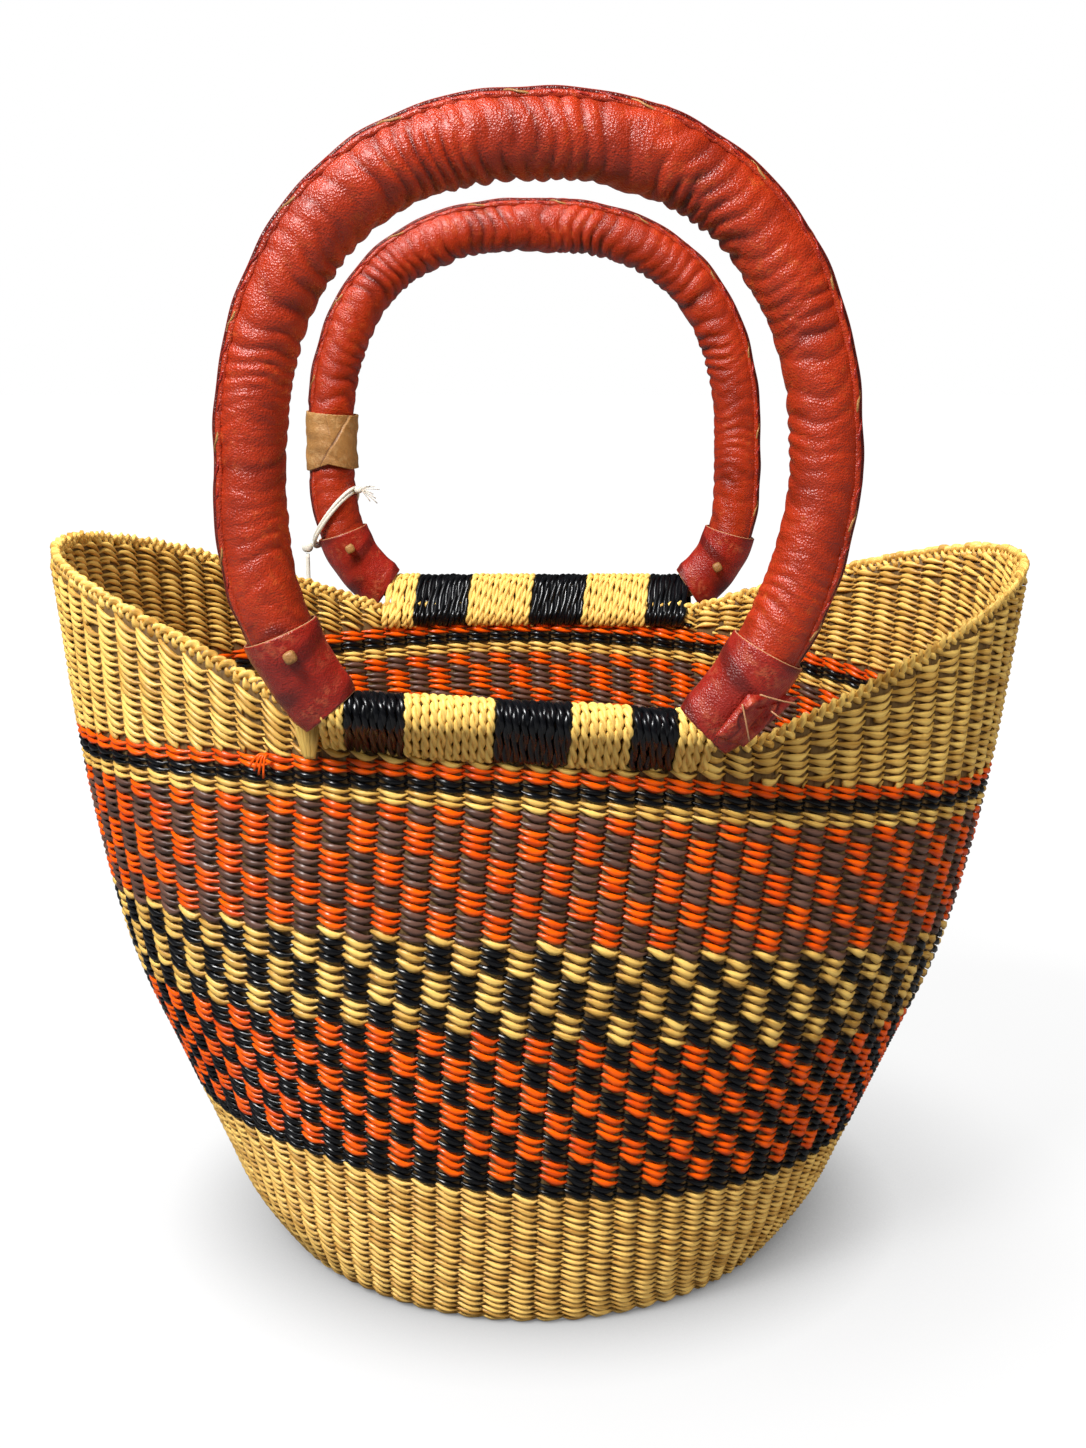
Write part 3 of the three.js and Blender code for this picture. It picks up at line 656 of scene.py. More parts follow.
class FinishShop:
    """Builds the shared effects once and each finish's material when it is first asked for."""

    def __init__(self) -> None:
        """Builds the grass and leather effects."""
        self.made: dict[str, bpy.types.Material] = {}
        self.grass_effect = self._grass_effect()
        self.leather_effect = self._leather_effect()

    @staticmethod
    def _group(
        name: str, colours: Sequence[str], amount: str
    ) -> tuple[Nodes, bpy.types.bpy_prop_collection, bpy.types.Node]:
        """An empty effect: its helper, its given sockets and its output node.

        Args:
            name: The effect's name.
            colours: Names of the colours it is given.
            amount: Name of the one number it is given.

        Returns:
            The helper, the given sockets and the output node.
        """
        tree = bpy.data.node_groups.new(name, "ShaderNodeTree")
        sockets = [(label, "INPUT", "NodeSocketColor") for label in colours]
        sockets += [(amount, "INPUT", "NodeSocketFloat"), ("Color", "OUTPUT", "NodeSocketColor")]
        sockets += [(label, "OUTPUT", "NodeSocketFloat") for label in ("Rough", "Height")]
        for label, way, kind in sockets:
            tree.interface.new_socket(label, in_out=way, socket_type=kind)
        nodes = Nodes(tree)
        return nodes, nodes.add("NodeGroupInput").outputs, nodes.add("NodeGroupOutput")

    def _grass_effect(self) -> bpy.types.NodeTree:
        """Strand-by-strand tone, which also carries painted shade, long fibre streaks and a few darker
        blotches.

        Returns:
            The effect's tree.
        """
        nodes, given, out = self._group("grass strands", ("Pale", "Dark"), "Streak")
        fibre, tone = nodes.attribute("fibre", "Vector"), nodes.attribute("tone", "Fac")
        streak = nodes.noise(nodes.drawn(fibre, (60.0, 1500.0, 1500.0)), 1.0, 3.0)
        streaked = nodes.times(nodes.ramp(streak, 0.40, 0.72), given["Streak"])
        blotch = nodes.times(nodes.ramp(nodes.noise(fibre, 140.0, 2.0), 0.55, 0.80), 0.35)
        tone_with_painted_shade = nodes.times(nodes.ramp(tone, 0.2, 1.05), 0.75)
        share = nodes.plus(nodes.plus(streaked, blotch), tone_with_painted_shade, clamp=True)
        nodes.feed(out, {
            "Color": nodes.mix(share, given["Pale"], given["Dark"]),
            "Rough": nodes.times(streaked, 0.3),
            "Height": streak,
        })
        return nodes.tree

    def _leather_effect(self) -> bpy.types.NodeTree:
        """Uneven dye, painted shade in hollows and wrinkle valleys, worn ridges, fine pores and creases.

        The point tone is high in hollows, where it paints shade, and low on ridges, where it shows
        wear. Dye, pores and creases follow the Object coordinates, and the long wrinkles the
        leather's own run.

        Returns:
            The effect's tree.
        """
        nodes, given, out = self._group("leather hide", ("Main", "Dark", "Worn"), "Wear")
        place = nodes.add("ShaderNodeTexCoord").outputs["Object"]
        fibre, tone = nodes.attribute("fibre", "Vector"), nodes.attribute("tone", "Fac")
        cloud, fine = nodes.noise(place, 55.0, 4.0), nodes.noise(place, 420.0, 5.0)
        crease = nodes.noise(place, 190.0, 6.0, 1.4)
        pores = nodes.add("ShaderNodeTexVoronoi", {"Vector": place, "Scale": 1500.0}).outputs["Distance"]
        wrinkle = nodes.noise(nodes.drawn(fibre, (150.0, 60.0, 60.0)), 1.0, 2.0, 0.9)
        folded = nodes.maths("ABSOLUTE", nodes.minus(wrinkle, 0.5))
        shade = nodes.times(nodes.ramp(cloud, 0.42, 0.75), 0.45)
        dyed = nodes.mix(shade, given["Main"], given["Dark"])
        # Painted shade: darker colour along the wrinkle valleys and where the tone marks a hollow.
        painted_wrinkle_shade = nodes.times(nodes.ramp(folded, 0.02, 0.0), 0.25)
        painted_hollow_shade = nodes.maths("MAXIMUM", nodes.ramp(tone, 0.44, 0.88), painted_wrinkle_shade)
        dye_with_painted_shade = nodes.mix(nodes.times(painted_hollow_shade, 0.9), dyed, given["Dark"])
        lit = nodes.times(nodes.ramp(fine, 0.50, 0.78), nodes.ramp(cloud, 0.62, 0.36))
        raised = nodes.plus(nodes.ramp(tone, 0.40, 0.0), nodes.times(lit, 0.6), clamp=True)
        worn = nodes.times(nodes.times(raised, nodes.ramp(fine, 0.42, 0.62)), given["Wear"])
        creased = nodes.plus(nodes.times(crease, 0.5), nodes.times(pores, 0.5))
        nodes.feed(out, {
            "Color": nodes.mix(worn, dye_with_painted_shade, given["Worn"]),
            "Rough": nodes.times(fine, 0.22),
            "Height": nodes.plus(creased, nodes.times(nodes.ramp(folded, 0.0, 0.16), 0.25)),
        })
        return nodes.tree

    def _material(
        self, name: str, effect: bpy.types.NodeTree, given: dict[str, object], roughness: float,
        strength: float, distance: float, sheen: dict[str, float],
    ) -> bpy.types.Material:
        """A material that feeds one effect into a Principled shader, with a bump.

        Args:
            name: The material's name.
            effect: The effect it goes through.
            given: What the effect is given.
            roughness: What is added to the effect's roughness.
            strength: The bump's strength.
            distance: The bump's full height.
            sheen: Further values of the shader.

        Returns:
            The material, made once for each name.
        """
        if name not in self.made:
            self.made[name], nodes, shader = new_material(name)
            group = nodes.feed(nodes.add("ShaderNodeGroup", node_tree=effect), given).outputs
            bump = {"Strength": strength, "Distance": distance, "Height": group["Height"]}
            nodes.feed(shader, {
                "Base Color": group["Color"],
                "Roughness": nodes.plus(group["Rough"], roughness, clamp=True),
                "Normal": nodes.add("ShaderNodeBump", bump).outputs[0],
                **sheen,
            })
        return self.made[name]

    def grass(self, dye: Dye) -> bpy.types.Material:
        """The material of a dyed or undyed grass.

        Args:
            dye: The dye.

        Returns:
            The material.
        """
        finish = GRASSES[dye]
        given = {"Pale": rgba(finish.pale), "Dark": rgba(finish.dark), "Streak": finish.streak}
        sheen = {"Specular IOR Level": 0.35}
        return self._material(
            dye.value, self.grass_effect, given, finish.roughness, 0.45, 0.25 * MM, sheen
        )

    def leather(self, hide: Hide) -> bpy.types.Material:
        """The material of a leather.

        Args:
            hide: The leather.

        Returns:
            The material.
        """
        finish = LEATHERS[hide]
        given = {
            "Main": rgba(finish.main), "Dark": rgba(finish.dark), "Worn": rgba(finish.worn),
            "Wear": finish.wear,
        }
        sheen = {"Coat Weight": 0.10, "Coat Roughness": 0.22}
        return self._material(
            hide.value, self.leather_effect, given, finish.roughness, finish.grain, 0.8 * MM, sheen
        )

    def cotton(self) -> bpy.types.Material:
        """The even matte material of the string."""
        if COTTON not in self.made:
            self.made[COTTON], nodes, shader = new_material(COTTON)
            nodes.feed(shader, {"Base Color": rgba((0.74, 0.70, 0.60)), "Roughness": 0.85})
        return self.made[COTTON]


@dataclass
class Workshop:
    """What every maker shares: the wall, the finishes and the random source."""

    wall: WallShape
    finishes: FinishShop
    random: np.random.Generator

    def _dress(
        self, surface: Surface, name: str, body: str, material: bpy.types.Material,
        nodes: Sequence[str],
    ) -> bpy.types.Object:
        """Builds a gathered piece and gives it its material, body, slot and solids.

        Args:
            surface: What was gathered.
            name: The piece's name.
            body: The body that it rides on.
            material: Its material.
            nodes: The solids that it stands for, if any.

        Returns:
            The piece.
        """
        piece = surface.build(name)
        piece.data.materials.append(material)
        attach(piece, body)
        if nodes:
            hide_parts(*nodes)
        log.info("%s: %d faces", piece.name, len(piece.data.polygons))
        return piece

    def grass(self, surface: Surface, name: str, dye: Dye, *nodes: str, body: str = "basket") -> None:
        """Builds and dresses a piece of grass."""
        self._dress(surface, name, body, self.finishes.grass(dye), nodes)

    def leather(self, surface: Surface, name: str, hide: Hide, body: str, *nodes: str) -> None:
        """Builds and dresses a piece of leather."""
        self._dress(surface, name, body, self.finishes.leather(hide), nodes)

    def cotton(self, surface: Surface, name: str, *nodes: str) -> bpy.types.Object:
        """Builds and dresses a piece of the back loop's string; returns it."""
        return self._dress(surface, name, "back_handle", self.finishes.cotton(), nodes)


class Stations(NamedTuple):
    """Where a row runs: its middle, the ways out of and up the wall, and the row's height."""

    centre: Array
    out: Array
    up: Array
    pitch: Array


@dataclass
class Twining:
    """Twined weft: two strands that turn about each other between stakes, row upon row.

    Rises, droops and widths are shares of the row's height. A strand's slant, width and place
    vary by chance from bar to bar, a bar being the part that covers one stake.
    """

    shop: Workshop
    depth: float = 1.75 * MM
    half_thick: float = 1.1 * MM
    thinner_at_turn: float = 0.25
    swing_power: float = 0.75
    turn_rise: float = 0.26
    low_turn_rise: float = 0.36
    high_turn_rise: float = 0.40
    droop: float = 0.15
    high_droop: float = 0.36
    jitter: float = 0.20
    fullness: float = 0.54
    pinch: float = 0.60
    pinch_power: float = 1.8
    steps: int = 6
    sides: int = 6
    lowest: float = 0.1 * MM
    fibre_radius: float = 1.2 * MM

    def strand(
        self, surface: Surface, row: Stations, t: Array, phase: int, closed: bool,
        tighten: float = 1.0, slant: float | None = None,
    ) -> None:
        """Adds one strand of a row.

        With t counting stakes, the strand lies depth * cos(pi t) outside the wall's middle and
        rises by -slant * sin(pi t) - droop * cos(pi t) row heights, so that it slants down and
        sags over each stake it covers, and tucks, thin, under its partner between stakes.

        Args:
            surface: What the strand is gathered in.
            row: The row's stations.
            t: The place of each station along the row, in stakes.
            phase: 0 or 1; a partner has the other phase and covers the other stakes.
            closed: Whether the row goes all round.
            tighten: Scales the depth, less than 1 where the weave lies flatter; under 0.8 it
                makes the strand narrower too.
            slant: How steeply it slants; None takes the slant and droop of the raised ends.
        """
        random = self.shop.random.random
        swing, turn = np.cos(math.pi * (t + phase)), np.sin(math.pi * (t + phase))
        swing = np.sign(swing) * np.abs(swing) ** self.swing_power
        bar = np.floor(t + 0.5).astype(int)
        bar -= bar.min()
        tone, width = (random(int(bar.max()) + 2)[bar] for _ in range(2))
        steep = (self.high_turn_rise if slant is None else slant) * (0.6 + 0.8 * width)
        droop = self.high_droop if slant is None else self.droop
        rise = (-steep * turn - droop * swing + self.jitter * (tone - 0.5) * swing) * row.pitch
        middle = row.centre + row.out * (self.depth * tighten * swing)[:, None] + row.up * rise[:, None]
        pinched = 1 - self.pinch * np.abs(turn) ** self.pinch_power
        half_up = row.pitch * self.fullness * (0.80 + 0.32 * width) * pinched
        half_up = half_up * min(1.0, tighten + 0.2) ** 0.5
        half_out = self.half_thick * (1 - self.thinner_at_turn * turn * turn)
        rings = tube_rings(middle, row.out, row.up, half_out, half_up, self.sides)
        rings[..., 2] = np.maximum(rings[..., 2], self.lowest)
        fibre = tube_fibre(row.centre, self.sides, float(random()), self.fibre_radius)
        # Painted shade: on top of each bar's chance tone, the strand darkens towards its underside and where
        # it turns under its partner.
        under = 0.5 - 0.5 * ring_section(self.sides)[:, 1]
        shade = 0.75 * tone[:, None] + 0.45 * under**2 + 0.45 * turn[:, None] ** 4
        surface.grid(rings, closed, fibre, np.clip(shade, 0, 1))

    def round_row(self, surfaces: Sequence[Surface], low: float, high: float, swap: bool) -> None:
        """A row all round the wall between two front heights.

        The weave slants more in the lower half of the wall and lies flatter there, and flatter
        still in the foot.

        Args:
            surfaces: Where the strand over even and the strand over odd stakes are gathered.
            low: The row's lower edge at the front's middle.
            high: Its upper edge there.
            swap: Whether the two strands change stakes.
        """
        wall = self.shop.wall
        t = np.arange(wall.stakes * self.steps) / self.steps
        level, inset = (low + high) / 2, wall.thickness / 2
        u = wall.angle(t, level)
        z0, z1 = wall.row(u, low), wall.row(u, high)
        pitch = np.linalg.norm(wall.point(u, z1, inset) - wall.point(u, z0, inset), axis=-1)
        row = Stations(*wall.frame(u, (z0 + z1) / 2, inset), pitch)
        lowness = 1 - float(smooth(level, 0.45 * wall.bar_height, 0.8 * wall.bar_height))
        foot = 1 - float(smooth(level, 0.21 * wall.bar_height, 0.26 * wall.bar_height))
        slant = self.turn_rise + (self.low_turn_rise - self.turn_rise) * lowness
        tighten = 1 - 0.20 * lowness - 0.20 * foot
        for surface, phase in zip(surfaces, (1, 0) if swap else (0, 1)):
            self.strand(surface, row, t, phase, True, tighten, slant)


@dataclass(frozen=True)
class WeftBand:
    """A run of rows between two front heights, in one or two colours.

    Its blocks count rows from the lowest up, and the two strands change stakes from block to
    block. The first dye lies on even stakes in the first block unless that block is swapped.
    """

    name: str
    low: float
    high: float
    dyes: tuple[Dye, Dye]
    blocks: tuple[int, ...]
    node: str | None
    swapped: bool = False


def colour_bands(wall: WallShape) -> tuple[WeftBand, ...]:
    """The coloured bands above the foot, from the lowest up, as the solids divide them.

    Args:
        wall: The wall that they lie on.

    Returns:
        The bands.
    """
    tops = [wall.bar_height * share for share in wall.colour_tops]
    foot, edge, check, pale, columns, straw, black, orange = tops
    change = pale - (pale - check) / 11
    natural_black, orange_brown = (Dye.NATURAL, Dye.BLACK), (Dye.ORANGE, Dye.BROWN)
    return (
        WeftBand("black_edge", foot, edge, (Dye.BLACK, Dye.BLACK), (2,), "black_edge_band"),
        WeftBand("orange_check", edge, check, (Dye.ORANGE, Dye.BLACK), (3,) * 6, "orange_black_band", True),
        WeftBand("natural_check", check, change, natural_black, (3, 4, 3), "natural_black_band", True),
        WeftBand("changing_row", change, pale, (Dye.NATURAL, Dye.BROWN), (1,), None),
        WeftBand("columns", pale, columns, orange_brown, (3, 3, 4, 4, 2), "orange_brown_band"),
        WeftBand("natural_stripe_weft", columns, straw, (Dye.NATURAL, Dye.NATURAL), (2,), "natural_stripe"),
        WeftBand("black_stripe_weft", straw, black, (Dye.BLACK, Dye.BLACK), (2,), "black_stripe"),
        WeftBand("orange_stripe_weft", black, orange, (Dye.ORANGE, Dye.ORANGE), (2,), "orange_stripe"),
    )


def runs(mask: NDArray[np.bool_]) -> list[tuple[int, int]]:
    """First and last index of each run of true values in a mask that wraps round.

    Args:
        mask: The values, the last one next to the first.

    Returns:
        The pairs; numbers past the mask's end count on from its start.
    """
    if mask.all():
        return [(0, len(mask) - 1)]
    start = int(np.argmin(mask))
    turned = np.roll(mask, -start).astype(int)
    edges = np.diff(np.concatenate([[0], turned, [0]]))
    firsts, lasts = np.nonzero(edges == 1)[0], np.nonzero(edges == -1)[0] - 1
    return [(int(a) + start, int(b) + start) for a, b in zip(firsts, lasts)]


@dataclass
class BasketBody:
    """The woven wall and base: twined bands, stakes, short rows at the ends and the rim."""

    shop: Workshop
    foot_start: float = 0.6 * MM
    foot_rows: int = 22
    base_rows: int = 30
    base_start: float = 7 * MM
    base_inset: float = 1.5 * MM
    base_level: float = 2.6 * MM
    spoke_radius: float = 1.1 * MM
    short_row: float = 2.75 * MM
    short_rows: int = 36
    row_lean: float = 0.7
    stake_start: float = 2 * MM
    stake_share: float = 1.02
    stake_flatness: float = 0.13
    rim_rows: int = 3
    rim_radius: float = 2.7 * MM
    plait_length: float = 12 * MM
    plait_across: float = 1.45 * MM
    plait_above: float = 1.7 * MM
    plait_looseness: float = 0.8 * MM
    rim_points: int = 1440

    def build(self) -> None:
        """Makes the whole basket without its loops and grips."""
        self.twining = Twining(self.shop)
        self._foot()
        bands = colour_bands(self.shop.wall)
        for band in bands:
            self._band(band)
        self.bands_top = bands[-1].high
        self._upper_wall()
        self._stakes()
        self._base()
        self._rim()

    def _band(self, band: WeftBand) -> None:
        """Twines a band; its strands change stakes from block to block.

        Args:
            band: The band.
        """
        surfaces = {dye: Surface() for dye in band.dyes}
        pair = [surfaces[dye] for dye in band.dyes]
        edges = np.linspace(band.low, band.high, sum(band.blocks) + 1)
        blocks = [number for number, rows in enumerate(band.blocks) for _ in range(rows)]
        for low, high, block in zip(edges[:-1], edges[1:], blocks):
            self.twining.round_row(pair, low, high, (block % 2 == 1) != band.swapped)
        nodes = [band.node] if band.node else []
        for dye, surface in surfaces.items():
            self.shop.grass(surface, f"{band.name}_{dye.name.lower()}", dye, *nodes)
            nodes = []

    def _foot(self) -> None:
        """Twines the undyed foot, with rows spaced evenly along its rounding."""
        wall = self.shop.wall
        z = np.linspace(self.foot_start, wall.foot_top, 400)
        run = run_length(wall.point(np.full_like(z, -math.pi / 2), z))
        edges = np.interp(np.linspace(0, run[-1], self.foot_rows + 1), run, z)
        halves = (Surface(), Surface())
        for row in range(self.foot_rows):
            surface = halves[row * 2 // self.foot_rows]
            self.twining.round_row((surface, surface), edges[row], edges[row + 1], row % 2 == 0)
        self.shop.grass(halves[0], "foot_weft_low", Dye.FOOT, "natural_foot_band")
        self.shop.grass(halves[1], "foot_weft_high", Dye.FOOT)

    def _upper_wall(self) -> None:
        """Short rows that fill the raised ends, and a few rows that follow the rim all round.

        The short rows rise towards the ends row_lean times as fast as the rim does, so that
        the lower ones end on the stripe below and the upper ones under the rim's own rows.
        """
        wall, twining = self.shop.wall, self.twining
        inset = wall.thickness / 2
        low, rimward = Surface(), Surface()
        t_all = np.arange(wall.stakes * twining.steps) / twining.steps
        u_all = wall.angle(t_all, self.bands_top)
        top = wall.rim(u_all) - self.rim_radius
        floor = wall.row(u_all, self.bands_top)
        rim_step = np.minimum(self.short_row, (top - floor) / self.rim_rows)
        ceiling = top - self.rim_rows * rim_step
        for level in range(self.rim_rows):
            row = Stations(*wall.frame(u_all, top - (level + 0.5) * rim_step, inset), rim_step)
            for phase in (0, 1):
                twining.strand(rimward, row, t_all, (phase + level) % 2, True)
        lean = self.row_lean * (ceiling - floor)
        for number in range(-self.short_rows, self.short_rows):
            centre_z = floor + lean + (number + 0.5) * self.short_row
            under_rim = centre_z + 0.1 * self.short_row < ceiling
            for first, last in runs(under_rim & (centre_z > floor + 0.2 * self.short_row)):
                index = np.arange(first, last + 1)
                if len(index) < 2 * twining.steps:
                    continue
                t, index = index / twining.steps, index % len(t_all)
                z, u = centre_z[index], u_all[index]
                row = Stations(*wall.frame(u, z, inset), np.full_like(z, self.short_row))
                for phase in (0, 1):
                    twining.strand(low, row, t, (phase + number) % 2, False)
        self.shop.grass(low, "raised_ends_weft", Dye.NATURAL, "natural_upper_wall")
        self.shop.grass(rimward, "rim_side_weft", Dye.NATURAL)

    def _stakes(self) -> None:
        """The upright stakes: flat bundles of straw that nearly meet behind the strands; their dark colour is
        painted shade.
        """
        wall = self.shop.wall
        inset = wall.thickness / 2
        number = np.arange(wall.stakes, dtype=float)
        level = np.linspace(self.stake_start, self.bands_top, 40)
        u = np.stack([wall.angle(number, each) for each in level])
        z = wall.row(u, level[:, None])
        above = np.linspace(0.1, 1, 8)[:, None]
        z = np.concatenate([z, z[-1] + (wall.rim(u[-1]) - z[-1]) * above])
        u = np.concatenate([u, np.repeat(u[-1:], len(above), 0)])
        middle = wall.point(u, z, inset)
        pitch = np.linalg.norm(np.roll(middle, -1, 1) - np.roll(middle, 1, 1), axis=-1) / 2
        surface = Surface()
        for k in range(wall.stakes):
            centre, out, _ = wall.frame(u[:, k], z[:, k], inset)
            add_tube(
                surface, centre, self.stake_share / 2 * pitch[:, k], 8,
                seed=k * 0.37, tone=0.55, flat=self.stake_flatness, towards=out,
            )
        self.shop.grass(surface, "stakes", Dye.BUNDLE)

    def _base(self) -> None:
        """The base: stakes from the middle outwards, twined in rings."""
        wall, twining = self.shop.wall, self.twining
        surface, spokes = Surface(), Surface()
        edge = wall.foot_radius - self.base_inset
        radii = np.linspace(self.base_start, edge, self.base_rows + 1)
        for number, (near, far) in enumerate(zip(radii[:-1], radii[1:])):
            count = wall.stakes // (2 if near > edge / 2 else 4)
            t = np.arange(count * twining.steps) / twining.steps
            u = t / count * TAU
            spoke = np.stack([np.cos(u), np.sin(u), np.zeros_like(u)], -1)
            centre = spoke * ((near + far) / 2) + UPWARDS * self.base_level
            down = np.broadcast_to(-UPWARDS, spoke.shape)
            row = Stations(centre, down, spoke, np.full_like(u, far - near))
            for phase in (0, 1):
                twining.strand(surface, row, t, (phase + number) % 2, True, 0.85)
        reach = np.linspace(2 * MM, edge, 12)
        for k in range(wall.stakes // 2):
            u = k / (wall.stakes // 2) * TAU
            line = np.stack([reach * math.cos(u), reach * math.sin(u), np.full(12, self.base_level)], -1)
            add_tube(spokes, line, self.spoke_radius, 5, seed=k * 0.21)
        self.shop.grass(surface, "base_weft", Dye.FOOT, "woven_base")
        self.shop.grass(spokes, "base_stakes", Dye.BUNDLE, "base_start")

    def _rim(self) -> None:
        """The plaited rim: three strands that cross over each other along it.

        With a growing along the rim, each strand goes as sin(2a) across it and as sin(a) up,
        and the three are a third of a turn apart. Chance knots loosen and thicken it in places.
        """
        wall = self.shop.wall
        surface = Surface()
        u = np.linspace(0, TAU, self.rim_points + 1)[:-1]
        centre, out, _ = wall.frame(u, wall.rim(u), wall.thickness / 2)
        run = run_length(centre)
        whole = run[-1] + np.linalg.norm(centre[0] - centre[-1])
        plaits = round(whole / self.plait_length)
        turn = run / whole * plaits
        along = gradient(centre, True)
        side = unit(np.cross(along, np.cross(out, along)))
        lift = unit(np.cross(along, side))
        bar = np.floor(turn * 2).astype(int)
        for strand in range(3):
            a = turn * TAU + strand * TAU / 3
            tone = self.shop.random.random(int(bar.max()) + 1)[bar]
            knots = self.shop.random.random(plaits * 2 + 1) - 0.5
            loose = np.interp(turn * 2, np.arange(plaits * 2 + 1), knots)
            across = self.plait_across * np.sin(2 * a) * 0.7 + self.plait_looseness * loose
            above = self.plait_above * np.sin(a) * (1 + 0.6 * loose)
            middle = centre + side * across[:, None] + lift * above[:, None]
            rings = tube_rings(middle, side, lift, 1.0 * MM, self.plait_across * (1 + 0.5 * loose), 6)
            fibre = tube_fibre(middle, 6, strand * 0.7, self.twining.fibre_radius)
            surface.grid(rings, True, fibre, tone[:, None])
        self.shop.grass(surface, "rim_plait", Dye.NATURAL, "rim_braid")


@dataclass
class LoopShape:
    """One carrying loop's middle line and thickness, as the solids have it."""

    name: str
    side: int
    slant: float
    middle: float
    foot_shift: float
    half_width: float
    waist: float
    rise: float
    roundness: float
    drop: float
    low_roundness: float
    leg_radius: float
    crown_radius: float
    bar_height: float = 242.5 * MM
    bar_offset: float = 134 * MM
    bar_radius: float = 4.2 * MM
    cuff_top: float = 27 * MM
    sleeve_end: float = 8.1 * MM
    end_half_width: float = 10.4 * MM
    end_half_depth: float = 6.5 * MM

    @property
    def body(self) -> str:
        """The body that all of this loop rides on."""
        return f"{self.name}_handle"

    def bar(self, x: Array) -> Array:
        """The height of the foot bar at x."""
        return self.bar_height - math.tan(math.radians(self.slant)) * (x - self.middle)

    def arch(self, angle: Array) -> Array:
        """The middle line: a squarish oval above the waist, another below it, leaning to the bar.

        Args:
            angle: Angles round the loop, 0 on the right at the waist.

        Returns:
            The points, shape (n, 3).
        """
        c, s = np.cos(angle), np.sin(angle)
        k = superellipse(c, s, np.where(s > 0, self.roundness, self.low_roundness))
        height = self.waist + s * k * np.where(s > 0, self.rise - self.waist, self.drop)
        low = np.clip(1 - height / self.waist, 0, 1)
        x = self.middle + self.half_width * c * k + self.foot_shift * low
        z = self.bar_height + (self.bar(x) - self.bar_height) * low + height
        return np.stack([x, np.full_like(x, self.side * self.bar_offset), z], -1)

    def angle_at(self, height: float) -> float:
        """The angle where the right leg is that high above its bar.

        Args:
            height: The height above the bar.

        Returns:
            The angle in radians.
        """
        above = height > self.waist
        reach, power = (self.rise - self.waist, self.roundness) if above else (self.drop, self.low_roundness)
        share = abs(height - self.waist) / reach
        angle = math.atan2(share, (1 - share**power) ** (1 / power))
        return angle if above else -angle

    def line(self, low: float, count: int, high: float | None = None, left: bool = False) -> "LoopLine":
        """Evenly spaced stations of the loop.

        Args:
            low: Height above the bar where the run starts, on the right leg.
            count: How many stations.
            high: Height where it ends on the same leg; None runs over to the left leg.
            left: With high, takes the left leg instead of the right.

        Returns:
            The stations.
        """
        start = self.angle_at(low)
        end = math.pi - start if high is None else self.angle_at(high)
        dense = np.linspace(start, end, 2400)
        if left:
            dense = math.pi - dense
        run = run_length(self.arch(dense))
        s = np.linspace(0, run[-1], count)
        angle = np.interp(s, run, dense)
        aside = math.radians(1)
        along = unit(self.arch(angle + aside) - self.arch(angle - aside))
        out = np.stack([along[:, 2], np.zeros(count), -along[:, 0]], -1)
        centre = self.arch(angle)
        height = centre[:, 2] - self.bar(centre[:, 0])
        radius = self.leg_radius + (self.crown_radius - self.leg_radius) * np.maximum(0, np.sin(angle)) ** 2
        full = smooth(height, 0, self.cuff_top)
        width, depth = (
            np.minimum(radius, end_half + (radius - end_half) * full)
            for end_half in (self.end_half_width, self.end_half_depth)
        )
        return LoopLine(centre, along, out, s, angle, height, width, depth)


@dataclass
class LoopLine:
    """Stations along a loop: middle, ways on and out, run length, angle, height and half sizes."""

    centre: Array
    along: Array
    out: Array
    run: Array
    angle: Array
    height: Array
    width: Array
    depth: Array

    def sample(self, i: Array) -> "LoopLine":
        """The stations at these fractional numbers.

        Args:
            i: The numbers, whole or between stations.

        Returns:
            Those stations.
        """
        def read(values: Array) -> Array:
            """One of the line's arrays at those stations, column by column."""
            columns = values.reshape(len(self.run), -1).T
            got = np.stack([np.interp(i, np.arange(len(self.run)), column) for column in columns], -1)
            return got if values.ndim > 1 else got[:, 0]

        return LoopLine(*(read(getattr(self, part.name)) for part in fields(self)))

    def skin(self, a: Array, grow: Array | float) -> Array:
        """Points at section angles a, that far proud of the loop's own half sizes.

        Args:
            a: Section angles, shape (stations, sides).
            grow: How far proud, one number or one for each point.

        Returns:
            The points, shape (stations, sides, 3).
        """
        across = (self.width[:, None] + grow) * np.cos(a)
        forth = (self.depth[:, None] + grow) * np.sin(a)
        return self.centre[:, None] + self.out[:, None] * across[..., None] + FRONTWARDS * forth[..., None]


FRONT_LOOP = LoopShape(
    "front", FRONT_SIDE, slant=3.2, middle=2.5 * MM, foot_shift=-7 * MM, half_width=91.7 * MM,
    waist=80 * MM, rise=185 * MM, roundness=2.3, drop=108 * MM, low_roundness=2,
    leg_radius=11.3 * MM, crown_radius=13.5 * MM,
)
BACK_LOOP = LoopShape(
    "back", BACK_SIDE, slant=0.0, middle=-0.3 * MM, foot_shift=2 * MM, half_width=95.3 * MM,
    waist=62 * MM, rise=167.5 * MM, roundness=2.5, drop=75 * MM, low_roundness=3,
    leg_radius=10.5 * MM, crown_radius=11.6 * MM,
)


def section_angles(stations: int, sides: int) -> Array:
    """The same evenly spaced section angles at every station, shape (stations, sides)."""
    return np.arange(sides) / sides * TAU * np.ones((stations, 1))


